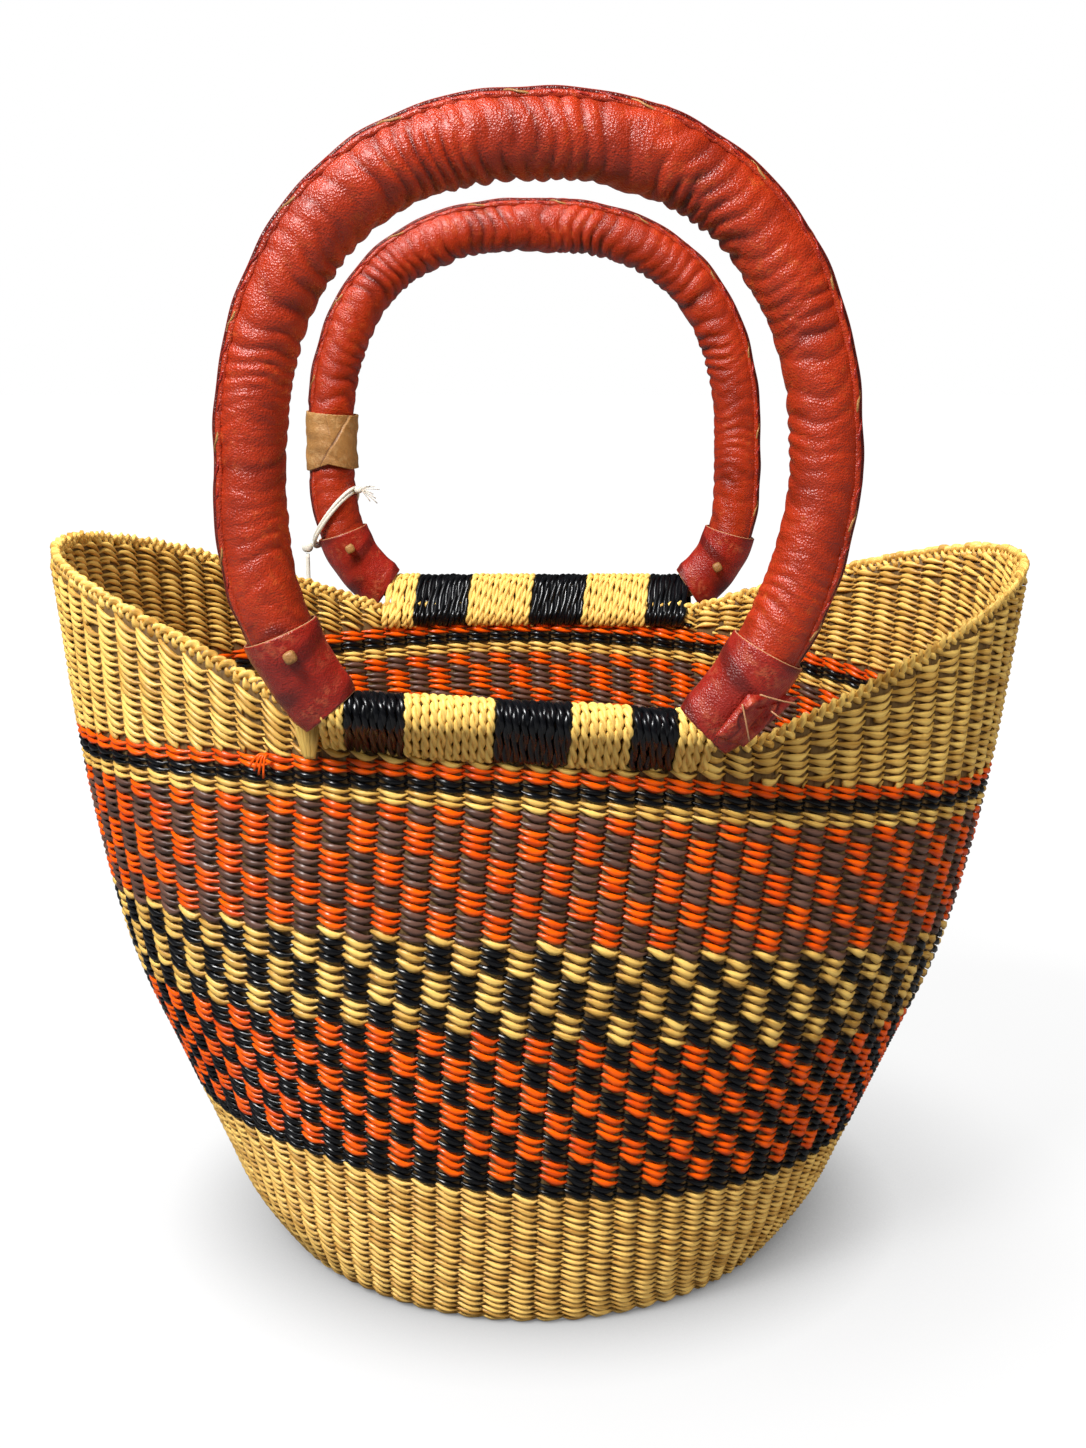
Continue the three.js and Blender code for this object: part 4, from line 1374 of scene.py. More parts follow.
@dataclass
class LeatherLoop:
    """A loop's leather: puckered sleeve, stitched welt with lacing, and a cuff on each foot."""

    shop: Workshop
    shape: LoopShape
    stations: int = 560
    sides: int = 48
    cuff_stations: int = 60
    pucker: float = 2.9 * MM
    lump: float = 1.9 * MM
    sleeve_leather: float = 1.2 * MM
    welt_height: float = 1.1 * MM
    welt_angle: float = 0.50
    lip_offset: float = 1.45 * MM
    stitch: float = 8.8 * MM
    thong: float = 0.42 * MM
    every_pale_stitch: int = 4
    cuff_leather: float = 1.2 * MM
    cut_edge: float = 0.28 * MM
    sleeve_gap: float = 0.4 * MM

    def build(self) -> None:
        """Makes the sleeve, the welt, the lacing, the core and the cuffs."""
        self.name = self.shape.name
        self._sleeve()
        self._welt()
        self._core()
        for word in ("left", "right"):
            self._cuff(word)

    def _leather(self, surface: Surface, name: str, hide: Hide, *nodes: str) -> None:
        """Builds and dresses a leather piece of this loop."""
        self.shop.leather(surface, f"{self.name}_{name}", hide, self.shape.body, *nodes)

    def _relief(self, run: Array, a: Array, crown: Array) -> tuple[Array, Array]:
        """How proud the leather stands, and its tone, over run length and section angle.

        Puckers are rounded lobes with sharp valleys, strongest on the inner side and at the
        crown. Two sets of lobes take turns along the loop over a coarser third, and their run
        wanders with the angle so that they slant and fork. Slow lumps and fine wrinkles add to
        them. The tone is high in the valleys, where it is painted shade, and low on the lumps, where it is
        wear.

        Args:
            run: Run length, shape (stations, 1).
            a: Section angles, shape (stations, sides).
            crown: How near each station is to the crown, from 0 to 1.

        Returns:
            The relief in metres and the tone from 0 to 1.
        """
        offset = 3.1 if self.shape.side < 0 else 8.4
        inner = (0.5 - 0.5 * np.cos(a)) ** 0.8
        wander = 3.4 * MM * wave(run, 17, offset) + 2.4 * MM * wave(run, 7.3, 2 * offset)
        x = run + wander + 2.6 * MM * wave(run, 23, a) + 1.4 * MM * wave(run, 11, 3 * a)
        first = lobes(x, 6.4, 0.7)
        second = lobes(x * 0.73 + 3.5 * MM * np.sin(a), 4.7, 0.8, offset)
        third = lobes(run - 6 * MM * np.sin(a) + wander, 14.5, 0.5, 2 * offset)
        share = smooth(wave(run, 19, 1.3 * a + offset), -0.5, 0.5)
        puckers = 0.72 * (first * share + second * (1 - share)) + 0.28 * third
        patchy = smooth(wave(run, 12.7, 1.1 * a + offset) + 0.5 * wave(run, 5.1), -0.8, 0.9)
        strength = (0.36 + 0.64 * inner) * (0.40 + 0.60 * crown) * (0.45 + 0.55 * patchy)
        slow = run + 3 * MM * np.sin(a + offset)
        lumps = 0.45 * wave(slow, 8.7, offset) + 0.35 * wave(slow, 4.6, 2 * np.sin(a))
        lumps = lumps * (0.6 + 0.4 * wave(run, 41, offset))
        fine = 0.10 * wave(run, 1.1, 3 * np.sin(2 * a)) * wave(run, 7, 3 * a)
        proud = self.pucker * strength * (puckers - 0.75) + self.lump * 0.4 * (lumps + fine)
        # High tone in the pucker valleys paints shade there; low tone on the lumps shows wear.
        tone = 0.5 - (0.54 * strength + 0.10) * (puckers - 0.72) - 0.22 * lumps
        return proud, np.clip(tone, 0, 1)

    def _sleeve(self) -> None:
        """The leather tube, a closed skin with an inner face; it lies smooth under the cuffs."""
        line = self.shape.line(self.shape.sleeve_end, self.stations)
        a = section_angles(self.stations, self.sides)
        crown = np.maximum(0, np.sin(line.angle))[:, None]
        proud, tone = self._relief(line.run[:, None], a, crown)
        free = smooth(line.height, self.shape.cuff_top - 2 * MM, self.shape.cuff_top + 14 * MM)[:, None]
        round_way = line.width[:, None] * np.stack([np.cos(a), np.sin(a)])
        fibre = np.stack([line.run[:, None] + 0 * a, *round_way], -1)
        skin = double_skin(line.skin(a, proud * free), line.skin(a, -self.sleeve_leather), tone, fibre)
        self._leather(skin, "sleeve", Hide.RED, f"{self.name}_handle_leather_sleeve")

    def _welt(self) -> None:
        """Two lips of leather pinched together along the outer side, laced over their edge."""
        cuff_top = self.shape.cuff_top
        line = self.shape.line(cuff_top - 4 * MM, 700)
        grown = smooth(line.height, cuff_top, 1.5 * cuff_top)
        if self.shape is BACK_LOOP:
            patch = smooth(line.height, 52 * MM, 55 * MM) * (1 - smooth(line.height, 84 * MM, 88 * MM))
            grown = grown * (1 - 0.85 * patch * (line.centre[:, 0] < 0))
        uneven = 0.30 * MM * wave(line.run, 4.7) + 0.22 * MM * wave(line.run, 2.9, 1.7)
        surface = Surface()
        for way, share in ((1, 1.0), (-1, 0.85)):
            high = (self.welt_height * share + uneven * 0.6) * grown
            corners = (
                (-1.1 * MM, 1.6), (0.55 * high, 1.25), (high, 0.35),
                (high, -0.45), (0.6 * high, -0.95), (-1.1 * MM, -1.0),
            )
            points = np.stack([
                self._on_seam(line, way * self.lip_offset + way * forth * MM, rise)
                for rise, forth in corners
            ], 1)
            # Painted shade: the lips' sides towards the gap between them are darker than their tops.
            surface.grid(points, False, points, np.array([0.6, 0.5, 0.45, 0.9, 1.0, 1.0]))
        self._leather(surface, "welt", Hide.RED)
        self._lacing(line, grown)

    def _on_seam(self, line: LoopLine, forth: Array | float, rise: Array | float) -> Array:
        """Points that far round the tube from the seam and that far proud of it."""
        a = self.welt_angle + np.broadcast_to(forth, line.run.shape) / line.width
        return line.skin(a[:, None], np.broadcast_to(rise, line.run.shape)[:, None])[:, 0]

    def _lacing(self, line: LoopLine, grown: Array) -> None:
        """Thong stitches along the seam: each lies on its front lip, then dips into the gap.

        Args:
            line: The welt's stations.
            grown: How far the welt has risen at each, from 0 to 1.
        """
        tan, dark = Surface(), Surface()
        stations = np.arange(len(line.run))
        share = np.linspace(0, 1, 11)
        rise = self.welt_height * (1.35 * np.sin(math.pi * share) ** 0.5 - 0.35)
        forth = (2.3 - 2.6 * smooth(share, 0.35, 1.0)) * MM
        starts = np.arange(line.run[0] + 4 * MM, line.run[-1] - self.stitch, self.stitch)
        for number, start in enumerate(starts):
            i = np.interp(start + share * self.stitch * 0.92, line.run, stations)
            if np.interp(i, stations, grown).min() < 0.6:
                continue
            points = self._on_seam(line.sample(i), forth, rise)
            # Three stitches in four are dark crimson so that the seam's slits read dark: partly the thong's
            # colour, partly painted shade.
            surface = tan if number % self.every_pale_stitch == 1 else dark
            add_tube(surface, points, self.thong, 6, seed=number * 0.3, flat=0.6)
        self._leather(tan, "lacing", Hide.TAN)
        self._leather(dark, "dark_lacing", Hide.CRIMSON)

    def _core(self) -> None:
        """The bundled grass: one ring through the sleeve and the bound foot."""
        line = self.shape.line(0, 160)
        bar_radius = self.shape.bar_radius
        grown = smooth(line.height, 0, self.shape.sleeve_end)
        radius = bar_radius + (line.depth - 2 * self.sleeve_leather - bar_radius) * grown
        left, right = line.centre[-1], line.centre[0]
        bar = left + (right - left) * np.linspace(0.04, 0.96, 24)[:, None]
        radii = np.concatenate([radius, np.full(len(bar), bar_radius)])
        surface = Surface()
        points = np.concatenate([line.centre, bar])
        add_tube(surface, points, radii, 12, closed=True, towards=-FRONTWARDS)
        node = f"{self.name}_handle_grass_core"
        self.shop.grass(surface, f"{self.name}_core", Dye.BUNDLE, node, body=self.shape.body)

    def _cuff(self, word: str) -> None:
        """A cuff on the left or right foot: darker leather with creases and a pale cut edge.

        Args:
            word: The foot's side, left or right.
        """
        line = self.shape.line(0, self.cuff_stations, self.shape.cuff_top, word == "left")
        a = section_angles(self.cuff_stations, self.sides)
        run = line.run[:, None]
        crease = 0.10 * MM * wave(run, 1.9, 2.5 * np.sin(a)) + 0.14 * MM * wave(run, 3.7, -2 * a)
        drawn_in = 0.9 * MM * smooth(run, 5 * MM, 0.0)
        grow = self.sleeve_gap + self.cuff_leather + crease - drawn_in
        outer, inner = line.skin(a, grow), line.skin(a, grow - self.cuff_leather)
        skin = double_skin(outer, inner, np.clip(0.45 + crease / (0.5 * MM), 0, 1))
        self._leather(skin, f"{word}_cuff", Hide.CRIMSON, f"{self.name}_handle_{word}_cuff")
        edges = Surface()
        for end in (0, -1):
            add_tube(edges, (outer[end] + inner[end]) / 2, self.cut_edge, 6, closed=True)
        self._leather(edges, f"{word}_cuff_edge", Hide.RAW)


@dataclass(frozen=True)
class GripBand:
    """A colour's run of a grip: from where to where along X, and its solid."""

    start: float
    end: float
    dye: Dye
    node: str | None = None


def grip_bands(name: str, first: Dye, start: float, turns: Sequence[int], pitch: float) -> list[GripBand]:
    """The bands of one grip, alternating black and natural, laid out as the solids have them.

    Args:
        name: The loop's name.
        first: The leftmost band's dye.
        start: Where it starts along X.
        turns: How many turns each band has.
        pitch: The solids' turn width.

    Returns:
        The bands, from left to right.
    """
    bands, x, dye = [], start, first
    for number, count in enumerate(turns):
        end = x + count * pitch
        word = dye.name.lower()
        bands.append(GripBand(x, end, dye, f"{name}_grip_{word}_winding_{number + 1}"))
        x, dye = end, Dye.NATURAL if dye is Dye.BLACK else Dye.BLACK
    return bands


class Ply(NamedTuple):
    """How a strand is twisted: twists a turn, its plies' rise and half width, and its tones."""

    twists: float
    rise: float
    half_width: float
    tones: float


NATURAL_PLY = Ply(twists=5.6, rise=0.50 * MM, half_width=0.33, tones=0.4)
BLACK_PLY = Ply(twists=3.4, rise=0.35 * MM, half_width=0.40, tones=1.0)


@dataclass
class Grip:
    """Grass wound round a loop's foot bar and the rim under it.

    One turn starts under the rim. Its parts are the shares of it at which the strand starts,
    leaves the rim, meets the bar, leaves the bar, meets the rim again and ends.
    """

    shop: Workshop
    shape: LoopShape
    bands: list[GripBand]
    rim_radius: float = 2.6 * MM
    clearance: float = 0.35 * MM
    strand: float = 2.8 * MM
    thick: float = 1.1 * MM
    lean: float = 0.45
    steps: int = 54
    sides: int = 8
    below_rim: float = 4.2 * MM
    parts: tuple[float, ...] = (0, 0.13, 0.30, 0.70, 0.87, 1)

    def build(self) -> None:
        """Winds every band."""
        wall = self.shop.wall
        u = np.linspace(0, math.pi, 3001) * self.shape.side
        rim = wall.point(u, wall.rim(u), wall.thickness / 2)
        self._rim = rim[np.argsort(rim[:, 0])]
        for number, band in enumerate(self.bands):
            surface = Surface()
            turns = max(1, round((band.end - band.start) / self.strand))
            for ply in (0, 1):
                self._wind(surface, band, turns, ply)
            name = f"{self.shape.name}_grip_{number + 1}_{band.dye.name.lower()}"
            self.shop.grass(surface, name, band.dye, *([band.node] if band.node else []))

    def _wind(self, surface: Surface, band: GripBand, turns: int, ply: int) -> None:
        """Winds one ply of a twisted strand through a band.

        The path goes round two circles, one about the bar and one about the rim, and straight
        from one to the other, while x advances by one strand width a turn. The two plies turn
        about each other as it goes, and chance sets each turn a little off.

        Args:
            surface: What it is gathered in.
            band: The band.
            turns: How many turns the band has.
            ply: 0 or 1; the strand's other ply has the other number.
        """
        random = self.shop.random.random
        n = turns * self.steps + 1
        turn = np.linspace(0, turns, n)
        chance = random((turns + 2, 3)) - 0.5
        off, sway, swell = (np.interp(turn, np.arange(turns + 2), chance[:, k]) for k in range(3))
        angle = np.interp(turn % 1, self.parts, (0, 0.25, 0.25, 0.75, 0.75, 1)) * TAU
        high = np.interp(turn % 1, self.parts, (0, 0, 1, 1, 0, 0))[:, None]
        way = -np.cos(turn * TAU)
        wide = (band.end - band.start) / turns
        look = NATURAL_PLY if band.dye is Dye.NATURAL else BLACK_PLY
        spin = turn * TAU * look.twists + ply * math.pi
        x = band.start + wide * (turn + 0.25 * self.shape.side)
        x = x + 0.3 * MM * off + 0.25 * MM * sway * way
        x = x + (0.26 * np.sin(spin) + self.lean * way + 0.3 * swell) * wide
        rim = np.stack([np.interp(x, self._rim[:, 0], self._rim[:, k]) for k in range(3)], -1)
        rim[:, 2] -= self.below_rim
        bar = np.stack([x, np.full(n, self.shape.side * self.shape.bar_offset), self.shape.bar(x)], -1)
        up = unit(bar - rim)
        sideways = np.stack([np.zeros(n), -up[:, 2], up[:, 1]], -1) * self.shape.side
        core = self.rim_radius + (self.shape.bar_radius - self.rim_radius) * high[:, 0]
        lift = self.clearance + self.thick + 0.25 * MM * swell
        lift = lift + look.rise * (0.6 + np.cos(spin))
        out = up * -np.cos(angle)[:, None] + sideways * np.sin(angle)[:, None]
        centre = rim + (bar - rim) * high + out * (core + lift)[:, None]
        centre[:, 0] = x
        across = unit(np.cross(out, gradient(centre, False)))
        thick = self.thick * (0.85 + 0.3 * sway)
        rings = tube_rings(centre, out, across, thick, wide * look.half_width, self.sides)
        tone = random(turns + 2)[np.floor(turn).astype(int)] * look.tones
        fibre = tube_fibre(centre, self.sides, float(random()), self.thick)
        surface.grid(rings, False, fibre, tone[:, None])


PILLOW_ROWS, PILLOW_SIDES, PILLOW_POLE = 13, 20, 0.03


def pillow(
    surface: Surface, centre: Array, half: Sequence[float], power: float = 2.2, axes: Array | None = None
) -> None:
    """Adds a rounded block: a superellipsoid of that power, 2 a ball and more squarer.

    Args:
        surface: What it is gathered in.
        centre: Its middle.
        half: Its three half sizes.
        power: How square it is.
        axes: Its three axes as rows; None is the world's.
    """
    near_pole = math.pi / 2 - PILLOW_POLE
    v = np.linspace(-near_pole, near_pole, PILLOW_ROWS)[:, None]
    u = (np.arange(PILLOW_SIDES) / PILLOW_SIDES * TAU)[None, :]

    def shaped(value: Array) -> Array:
        """A sine or cosine made squarer, with its sign kept."""
        return np.sign(value) * np.abs(value) ** (2 / power)

    local = np.stack([
        half[0] * shaped(np.cos(v)) * shaped(np.cos(u)),
        half[1] * shaped(np.cos(v)) * shaped(np.sin(u)),
        half[2] * shaped(np.sin(v)) * np.ones_like(u),
    ], -1)
    points = centre + local @ (np.eye(3) if axes is None else axes)
    surface.grid(points, False, points, 0.5)


@dataclass
class SmallPieces:
    """The pegs, patch, string, strap and loose grass on the loops and the wall.

    The strap's numbers are in millimetres: its flap's four corners in X and Z, the middle of the
    cuff under it, the cuff's way in X and Z and how far it reaches to the front, and the ends
    of the sewing threads.
    """

    shop: Workshop
    peg: float = 4.2 * MM
    peg_depth: float = 1.9 * MM
    peg_turn: float = 0.5
    peg_sunk: float = 0.6 * MM
    peg_power: float = 3.2
    string: float = 1.0 * MM
    string_ring: tuple[float, float] = (12.9 * MM, 12.2 * MM)
    string_strand: float = 0.85 * MM
    string_apart: float = 0.9 * MM
    patch_leather: float = 0.9 * MM
    tail_length: float = 32 * MM
    flap: tuple[tuple[float, float], ...] = ((59.8, 240.7), (70.1, 235.0), (87.5, 251.7), (70.1, 254.6))
    cuff_middle: Point = (56.6, -134.0, 242.7)
    cuff_way: tuple[float, float] = (0.602, 0.798)
    cuff_reach: float = 13.5
    strap_threads: tuple[tuple[Point, Point], ...] = (
        ((68.0, -149.2, 252.0), (70.8, -147.8, 239.4)),
        ((73.6, -149.0, 255.0), (86.0, -145.0, 251.0)),
        ((77.5, -148.8, 249.5), (81.5, -148.0, 246.5)),
    )

    def build(self) -> None:
        """Makes each small piece."""
        for loop, word in ((FRONT_LOOP, "left"), (BACK_LOOP, "left"), (BACK_LOOP, "right")):
            self._peg(loop, word)
        self._strap()
        self._patch()
        self._string()
        self._grass_knot()
        self._tuft()

    def _peg(self, loop: LoopShape, word: str) -> None:
        """A square leather peg through the front of a loop's left or right cuff.

        Args:
            loop: The loop.
            word: The cuff's side, left or right.
        """
        node = f"{loop.body}_{word}_peg"
        low, high = box_of(node)
        c, s = math.cos(self.peg_turn), math.sin(self.peg_turn)
        axes = np.array([[c, 0, s], [-s, 0, c], [0, 1.0, 0]])
        surface = Surface()
        half = (self.peg / 2, self.peg / 2, self.peg_depth)
        pillow(surface, (low + high) / 2 - self.peg_sunk * FRONTWARDS, half, self.peg_power, axes)
        self.shop.leather(surface, f"{loop.name}_{word}_peg", Hide.TAN, loop.body, node)

    def _strap(self) -> None:
        """The folded end of the front loop's right cuff: a creased flap, a knuckle, and threads.

        Creases fan out from the knuckle near the flap's upper left corner, with painted shade along them and
        towards the flap's edges.
        """
        low_left, low_right, high_right, high_left = (np.array(corner) for corner in self.flap)
        u, v = np.meshgrid(np.linspace(0, 1, 36), np.linspace(0, 1, 52), indexing="ij")
        across, along = u[..., None], v[..., None]
        flat = (1 - along) * ((1 - across) * low_left + across * low_right)
        flat = flat + along * ((1 - across) * high_left + across * high_right)
        x0, y0, z0 = self.cuff_middle
        off = (flat[..., 0] - x0) * self.cuff_way[1] - (flat[..., 1] - z0) * self.cuff_way[0]
        cuff = y0 - np.sqrt(np.maximum(self.cuff_reach**2 - off**2, 25.0))
        away = np.hypot(u - 0.16, 0.8 * (v - 0.84))
        turn = np.arctan2(v - 0.84, u - 0.16) + 0.25 * np.sin(9 * away)
        crease = (turn * 2.6 / math.pi + 0.2) % 1
        rounding = (1 - np.abs(2 * u - 1) ** 7) * (1 - np.abs(2 * v - 1) ** 7)
        relief = 0.9 + 2.9 * bell(away, 0.17) + 1.5 * crease**1.5 * smooth(away, 0.10, 0.34)
        # Painted shade: dark along each crease away from the knuckle, and towards the flap's rounded edges.
        dark = 0.95 * (1 - smooth(crease, 0.0, 0.22)) * smooth(away, 0.08, 0.2) + 0.3 * (1 - rounding)
        top, under = (
            np.stack([flat[..., 0], y, flat[..., 1]], -1) * MM
            for y in (cuff - rounding * relief, cuff + 0.9)
        )
        rings = np.concatenate([top, under[:, ::-1]], 1)
        folds, threads = Surface(), Surface()
        folds.grid(rings, False, rings, np.clip(np.concatenate([dark, dark[:, ::-1]], 1), 0, 1))
        self.shop.leather(folds, "right_strap", Hide.CRIMSON, FRONT_LOOP.body, "front_handle_right_strap")
        share = np.linspace(0, 1, 14)[:, None]
        for start, end in self.strap_threads:
            path = (np.array(start) + (np.array(end) - np.array(start)) * share) * MM
            add_tube(threads, path + FRONTWARDS * 1.3 * MM * np.sin(math.pi * share), 0.3 * MM, 6)
        self.shop.leather(threads, "right_strap_threads", Hide.RAW, FRONT_LOOP.body)

    def _patch(self) -> None:
        """A tan patch wrapped round the back loop's left leg: its lapped edge, a second crease,
        a notch in its lower edge and some sag."""
        line = BACK_LOOP.line(57 * MM, 60, 83 * MM, True)
        a = section_angles(60, 180)
        up = (line.run / line.run[-1])[:, None]
        edge = a - 1.2 - 1.25 * up
        second = a - 2.0 + 0.5 * up
        fold = 0.9 * MM * smooth(edge, 0.0, 0.06) * (1 - smooth(a, 3.5, 3.8))
        fold = fold + 0.35 * MM * bell(second, 0.07) * smooth(up, 0.25, 0.5)
        sag = 0.30 * MM * np.sin(8 * up + 2.3 * a) + 0.16 * MM * np.sin(23 * up + 5 * a + 2 * np.sin(3 * a))
        grow = 1.0 * MM + fold + sag
        # Painted shade: dark lines just beside the lapped edge and the second crease; the sine term is chance
        # tone.
        lap_shade_lines = bell(edge + 0.02, 0.05) + 0.6 * bell(second + 0.06, 0.05) * up
        tone = 0.22 + 0.78 * lap_shade_lines + 0.22 * np.sin(9 * up + 3 * a) * np.sin(2.3 * a)
        notch = np.clip(1 - np.abs(a - 1.55) / 0.95, 0, 1) * (1 - up) ** 2 * 3.2 * MM
        outer, inner = line.skin(a, grow), line.skin(a, grow - self.patch_leather)
        for face in (outer, inner):
            face[..., 2] += notch
        skin = double_skin(outer, inner, np.clip(tone, 0, 1))
        self.shop.leather(skin, "leg_patch", Hide.TAN, BACK_LOOP.body, "back_handle_tan_patch")

    def _string(self) -> None:
        """Cotton string tied twice round the back loop's left leg, its knots and loose end."""
        low = BACK_LOOP.line(26 * MM, 3, 27 * MM, True)
        high = BACK_LOOP.line(43 * MM, 3, 44 * MM, True)
        middle, rise, out = (low.centre[0] + high.centre[0]) / 2, high.centre[0] - low.centre[0], low.out[0]
        a = np.linspace(0, TAU, 73)[:-1]
        c, s = np.cos(a)[:, None], np.sin(a)[:, None]
        across, forth = self.string_ring
        ring = middle + out * (across * c + 1.6 * MM) + FRONTWARDS * forth * s
        ring = ring + rise * (-0.5 * c + 0.25 * s)
        rings, knots, tail = Surface(), Surface(), Surface()
        for shift in (-self.string_apart, self.string_apart):
            place, seed = ring + UPWARDS * shift, shift * 900
            add_tube(rings, place, self.string_strand, 8, closed=True, seed=seed)
        self.shop.cotton(rings, "string_rings", "string_loop")
        low, high = box_of("string_knot")
        pillow(knots, (low + high) / 2, (2.7 * MM, 2.3 * MM, 2.6 * MM))
        far = middle - out * 11.4 * MM + rise * 0.5
        pillow(knots, far + np.array([1.2, -6.5, 1.0]) * MM, (1.9 * MM, 1.9 * MM, 1.7 * MM))
        share = np.linspace(0, 1, 6)[:, None]
        for number in range(7):
            way = unit(np.array([1.0, -0.25 + 0.08 * number, 0.75 - 0.28 * number]))
            end = far + np.array([2.2, -7.2, 1.2]) * MM + way * share * (6.0 + (number % 3) * 1.6) * MM
            add_tube(knots, end - UPWARDS * 1.6 * MM * share**2, 0.26 * MM, 5)
        self.shop.cotton(knots, "string_knots", "string_knot")
        low, high = box_of("string_tail")
        top = np.array([(low[0] + high[0]) / 2, (low[1] + high[1]) / 2, high[2]])
        path = top - UPWARDS * self.tail_length * np.linspace(0, 1, 17)[:, None]
        add_tube(tail, path, self.string, 12)
        piece = self.shop.cotton(tail, "string_end", "string_tail")

    def _grass_knot(self) -> None:
        """The grass binding at the front grip's left end: six wraps that spread downwards."""
        low, high = box_of("grass_knot")
        middle = (low + high) / 2
        share = np.linspace(0, 1, 14)
        knot = Surface()
        for number in range(6):
            x = middle[0] + (number - 2.5) * 1.15 * MM * (1.5 - 1.1 * share) + 1.2 * MM
            y = middle[1] - 1.4 * MM * np.sin(math.pi * share) + 1.2 * MM
            z = high[2] + 3.5 * MM - (13.5 + number % 2) * MM * share
            path = np.stack([x, y, z], -1)
            add_tube(knot, path, 1.05 * MM, 7, seed=number * 0.31, tone=0.2 + 0.1 * number, flat=0.7)
        self.shop.grass(knot, "grip_end_binding", Dye.NATURAL, "grass_knot")

    def _tuft(self) -> None:
        """An orange tuft of loose ends under the grip's left end."""
        low, high = box_of("orange_tuft")
        root = np.array([(low[0] + high[0]) / 2, high[1] - 0.5 * MM, high[2]])
        share = np.linspace(0, 1, 8)
        tuft = Surface()
        for number in range(4):
            x = root[0] - (1.5 + 1.6 * number) * MM * share
            y = root[1] - (3.0 - 0.5 * number) * MM * np.sin(2.2 * share)
            z = root[2] + 1.5 * MM * np.sin(3 * share) - (7.5 - 1.2 * number) * MM * share**2
            add_tube(tuft, np.stack([x, y, z], -1), 0.42 * MM, 5, seed=number * 0.4)
        self.shop.grass(tuft, "tuft", Dye.ORANGE, "orange_tuft")


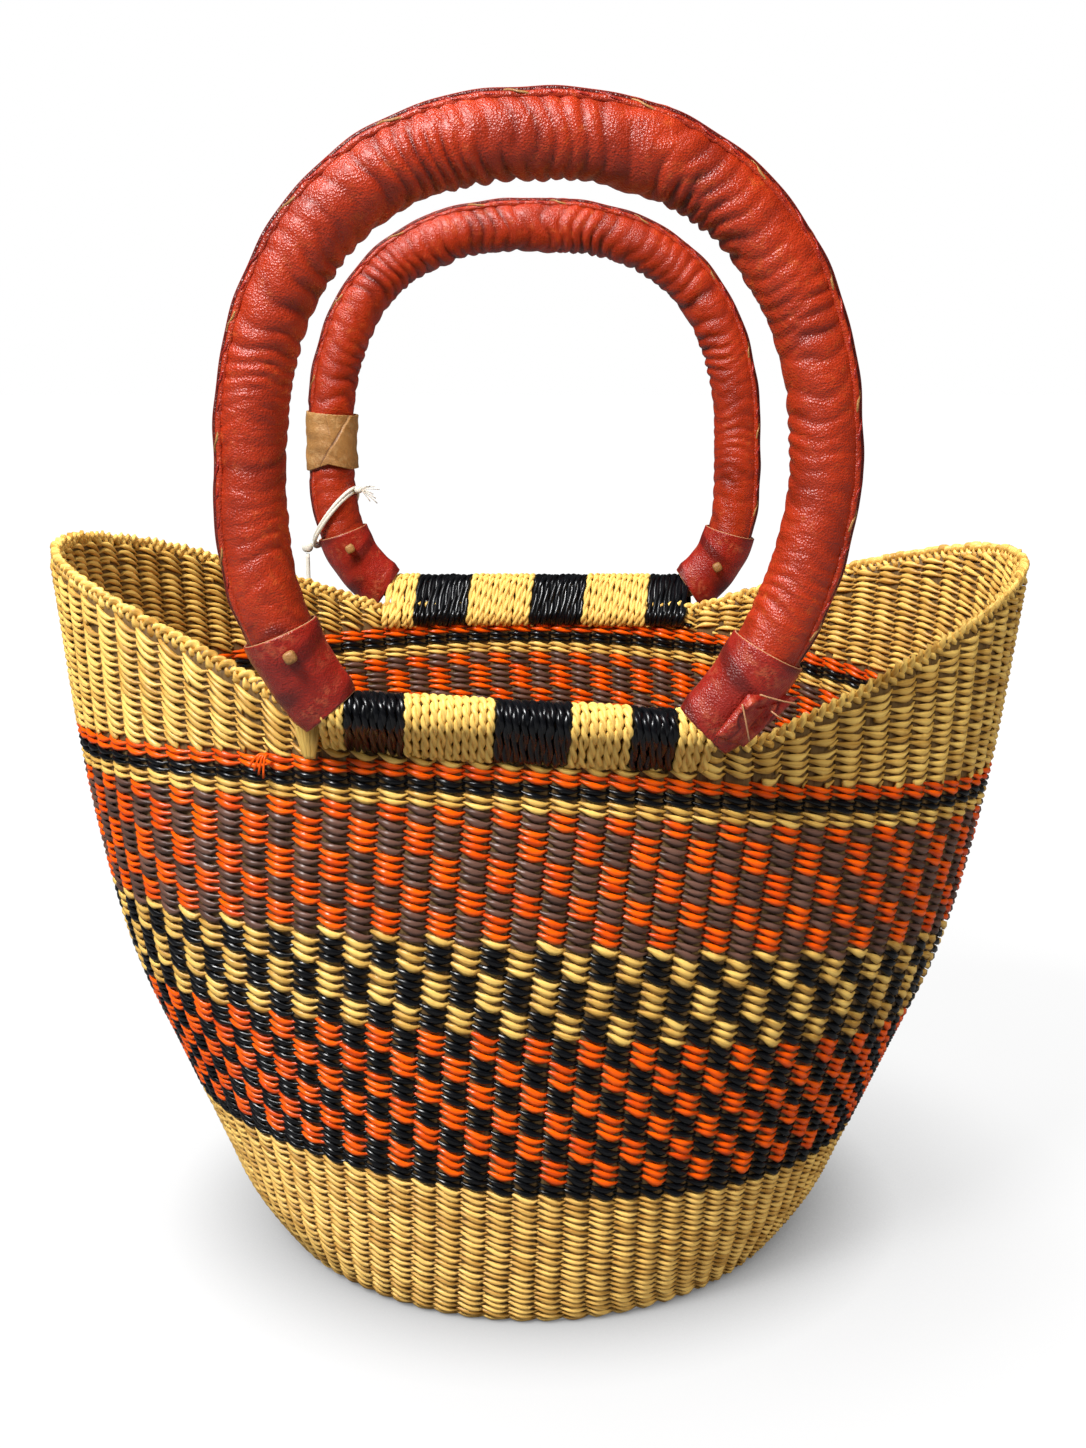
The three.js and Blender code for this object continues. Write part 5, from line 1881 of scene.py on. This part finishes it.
@dataclass
class Studio:
    """Camera, lamps, floor and pale surroundings."""

    camera_at: Point = (0.004, -0.700, 0.381)
    camera_pitch: float = math.pi / 2 - 0.2415
    focal_pixels: float = 1760.0
    photo_height: float = 1448.0
    sensor: float = 36.0
    aim: Point = (0, 0, 0.18)
    floor_reach: float = 6.0
    below_basket: float = 0.5 * MM

    def camera(self) -> None:
        """A level camera in front of the basket, looking a little down."""
        data = bpy.data.cameras.new("camera")
        data.sensor_fit = "VERTICAL"
        data.sensor_height = self.sensor
        data.sensor_width = self.sensor
        data.lens = self.focal_pixels * self.sensor / self.photo_height
        data.clip_start, data.clip_end = 0.01, 50
        camera = bpy.data.objects.new("camera", data)
        camera.location = self.camera_at
        camera.rotation_euler = (self.camera_pitch, 0, 0)
        bpy.context.scene.collection.objects.link(camera)
        bpy.context.scene.camera = camera

    def _lamp(self, name: str, place: Point, size: float, power: float, glossy: bool = False) -> None:
        """A square area lamp that faces the basket.

        Args:
            name: Its name.
            place: Where it stands.
            size: The length of its sides.
            power: Its power in watts.
            glossy: Whether it shows in shiny surfaces.
        """
        data = bpy.data.lights.new(name, "AREA")
        data.size, data.energy = size, power
        lamp = bpy.data.objects.new(name, data)
        x, y, z = np.array(self.aim) - np.array(place)
        lamp.location = place
        quarter = math.pi / 2
        pitch, turn = quarter + math.atan2(z, math.hypot(x, y)), math.atan2(y, x) - quarter
        lamp.rotation_euler = (pitch, 0, turn)
        lamp.visible_glossy = glossy
        bpy.context.scene.collection.objects.link(lamp)

    def build(self) -> None:
        """Lamps, a pale floor and a pale world."""
        self._lamp("key lamp", (-0.75, -1.0, 1.6), 0.5, 54, glossy=True)
        self._lamp("side lamp", (1.3, -0.9, 0.9), 0.8, 13)
        self._lamp("top lamp", (-0.3, 0.35, 1.9), 0.9, 30)
        mesh = bpy.data.meshes.new("floor")
        reach = self.floor_reach
        corners = [(-reach, -reach, 0), (reach, -reach, 0), (reach, reach, 0), (-reach, reach, 0)]
        mesh.from_pydata(corners, [], [(0, 1, 2, 3)])
        floor = bpy.data.objects.new("floor", mesh)
        floor.location = (0, 0, -self.below_basket)
        bpy.context.scene.collection.objects.link(floor)
        floor.data.materials.append(self._floor_material())
        self._world()
        bpy.context.scene.view_settings.view_transform = "Standard"

    @staticmethod
    def _floor_material() -> bpy.types.Material:
        """A white floor that the camera sees lit evenly, but for the basket's soft shade.

        The glow grows a little with the distance, so that the floor fades into the pale world.
        Two occlusions shade it: a wide one towards the key lamp and a close one at the foot.

        Returns:
            The material.
        """
        material, nodes, shader = new_material("floor")
        camera = nodes.add("ShaderNodeLightPath").outputs["Is Camera Ray"]
        place = nodes.add("ShaderNodeTexCoord").outputs["Object"]
        away = nodes.add("ShaderNodeVectorMath", {0: place}, operation="LENGTH").outputs["Value"]
        lamp_way = nodes.add("ShaderNodeCombineXYZ", {"X": -0.50, "Y": -0.30, "Z": 0.81}).outputs["Vector"]

        def hidden(power: float, reach: dict[str | int, object]) -> bpy.types.NodeSocket:
            """The share of the way round that is hidden within reach, raised to a power."""
            seen = nodes.add("ShaderNodeAmbientOcclusion", reach, samples=8).outputs["AO"]
            return nodes.maths("POWER", nodes.minus(1.0, seen), power)

        wide = nodes.times(hidden(1.8, {"Distance": 0.12, "Normal": lamp_way}), 0.62)
        near = nodes.times(hidden(1.2, {"Distance": 0.042}), 0.60)
        contact = nodes.maths("MAXIMUM", nodes.minus(1.0, nodes.plus(wide, near)), 0.12)
        far = nodes.plus(nodes.times(nodes.ramp(away, 0.25, 0.95), 0.14), 0.86)
        nodes.feed(shader, {
            "Base Color": nodes.mix(camera, (0.18, 0.18, 0.18, 1), (0.10, 0.10, 0.10, 1)),
            "Roughness": 0.9,
            "Specular IOR Level": 0.0,
            "Emission Color": (1, 1, 1, 1),
            "Emission Strength": nodes.times(nodes.times(far, contact), camera),
        })
        return material

    @staticmethod
    def _world() -> None:
        """Soft dim light all round, seen as white."""
        world = bpy.data.worlds.new("surroundings")
        bpy.context.scene.world = world
        world.use_nodes = True
        nodes = Nodes(world.node_tree)
        camera = nodes.add("ShaderNodeLightPath").outputs["Is Camera Ray"]
        strength = nodes.add("ShaderNodeMix", {0: camera, 2: 0.07, 3: 1.0}, data_type="FLOAT").outputs[0]
        background = world.node_tree.nodes["Background"]
        nodes.feed(background, {"Strength": strength, "Color": (1, 1, 1, 1)})


def write_sizes() -> None:
    """Brings the view layer up to date."""
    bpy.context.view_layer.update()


def main() -> None:
    """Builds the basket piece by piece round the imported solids."""
    logging.basicConfig(level=logging.INFO, format="%(message)s", stream=sys.stdout)
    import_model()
    studio = Studio()
    studio.camera()
    shop = Workshop(WallShape(), FinishShop(), np.random.default_rng(RANDOM_SEED))
    SmallPieces(shop).build()
    BasketBody(shop).build()
    for loop in (FRONT_LOOP, BACK_LOOP):
        LeatherLoop(shop, loop).build()
    front = grip_bands("front", Dye.BLACK, -62 * MM, (4, 6, 5, 4, 3), 5 * MM)
    front += [GripBand(-70 * MM, -62 * MM, Dye.NATURAL), GripBand(48 * MM, 60 * MM, Dye.NATURAL)]
    back = grip_bands("back", Dye.NATURAL, -61 * MM, (1, 5, 6, 5, 6, 2), 5 * MM)
    back += [GripBand(-70 * MM, -61 * MM, Dye.NATURAL), GripBand(64 * MM, 73 * MM, Dye.BLACK)]
    Grip(shop, FRONT_LOOP, front).build()
    Grip(shop, BACK_LOOP, back).build()
    studio.build()
    write_sizes()


if __name__ == "__main__":
    main()
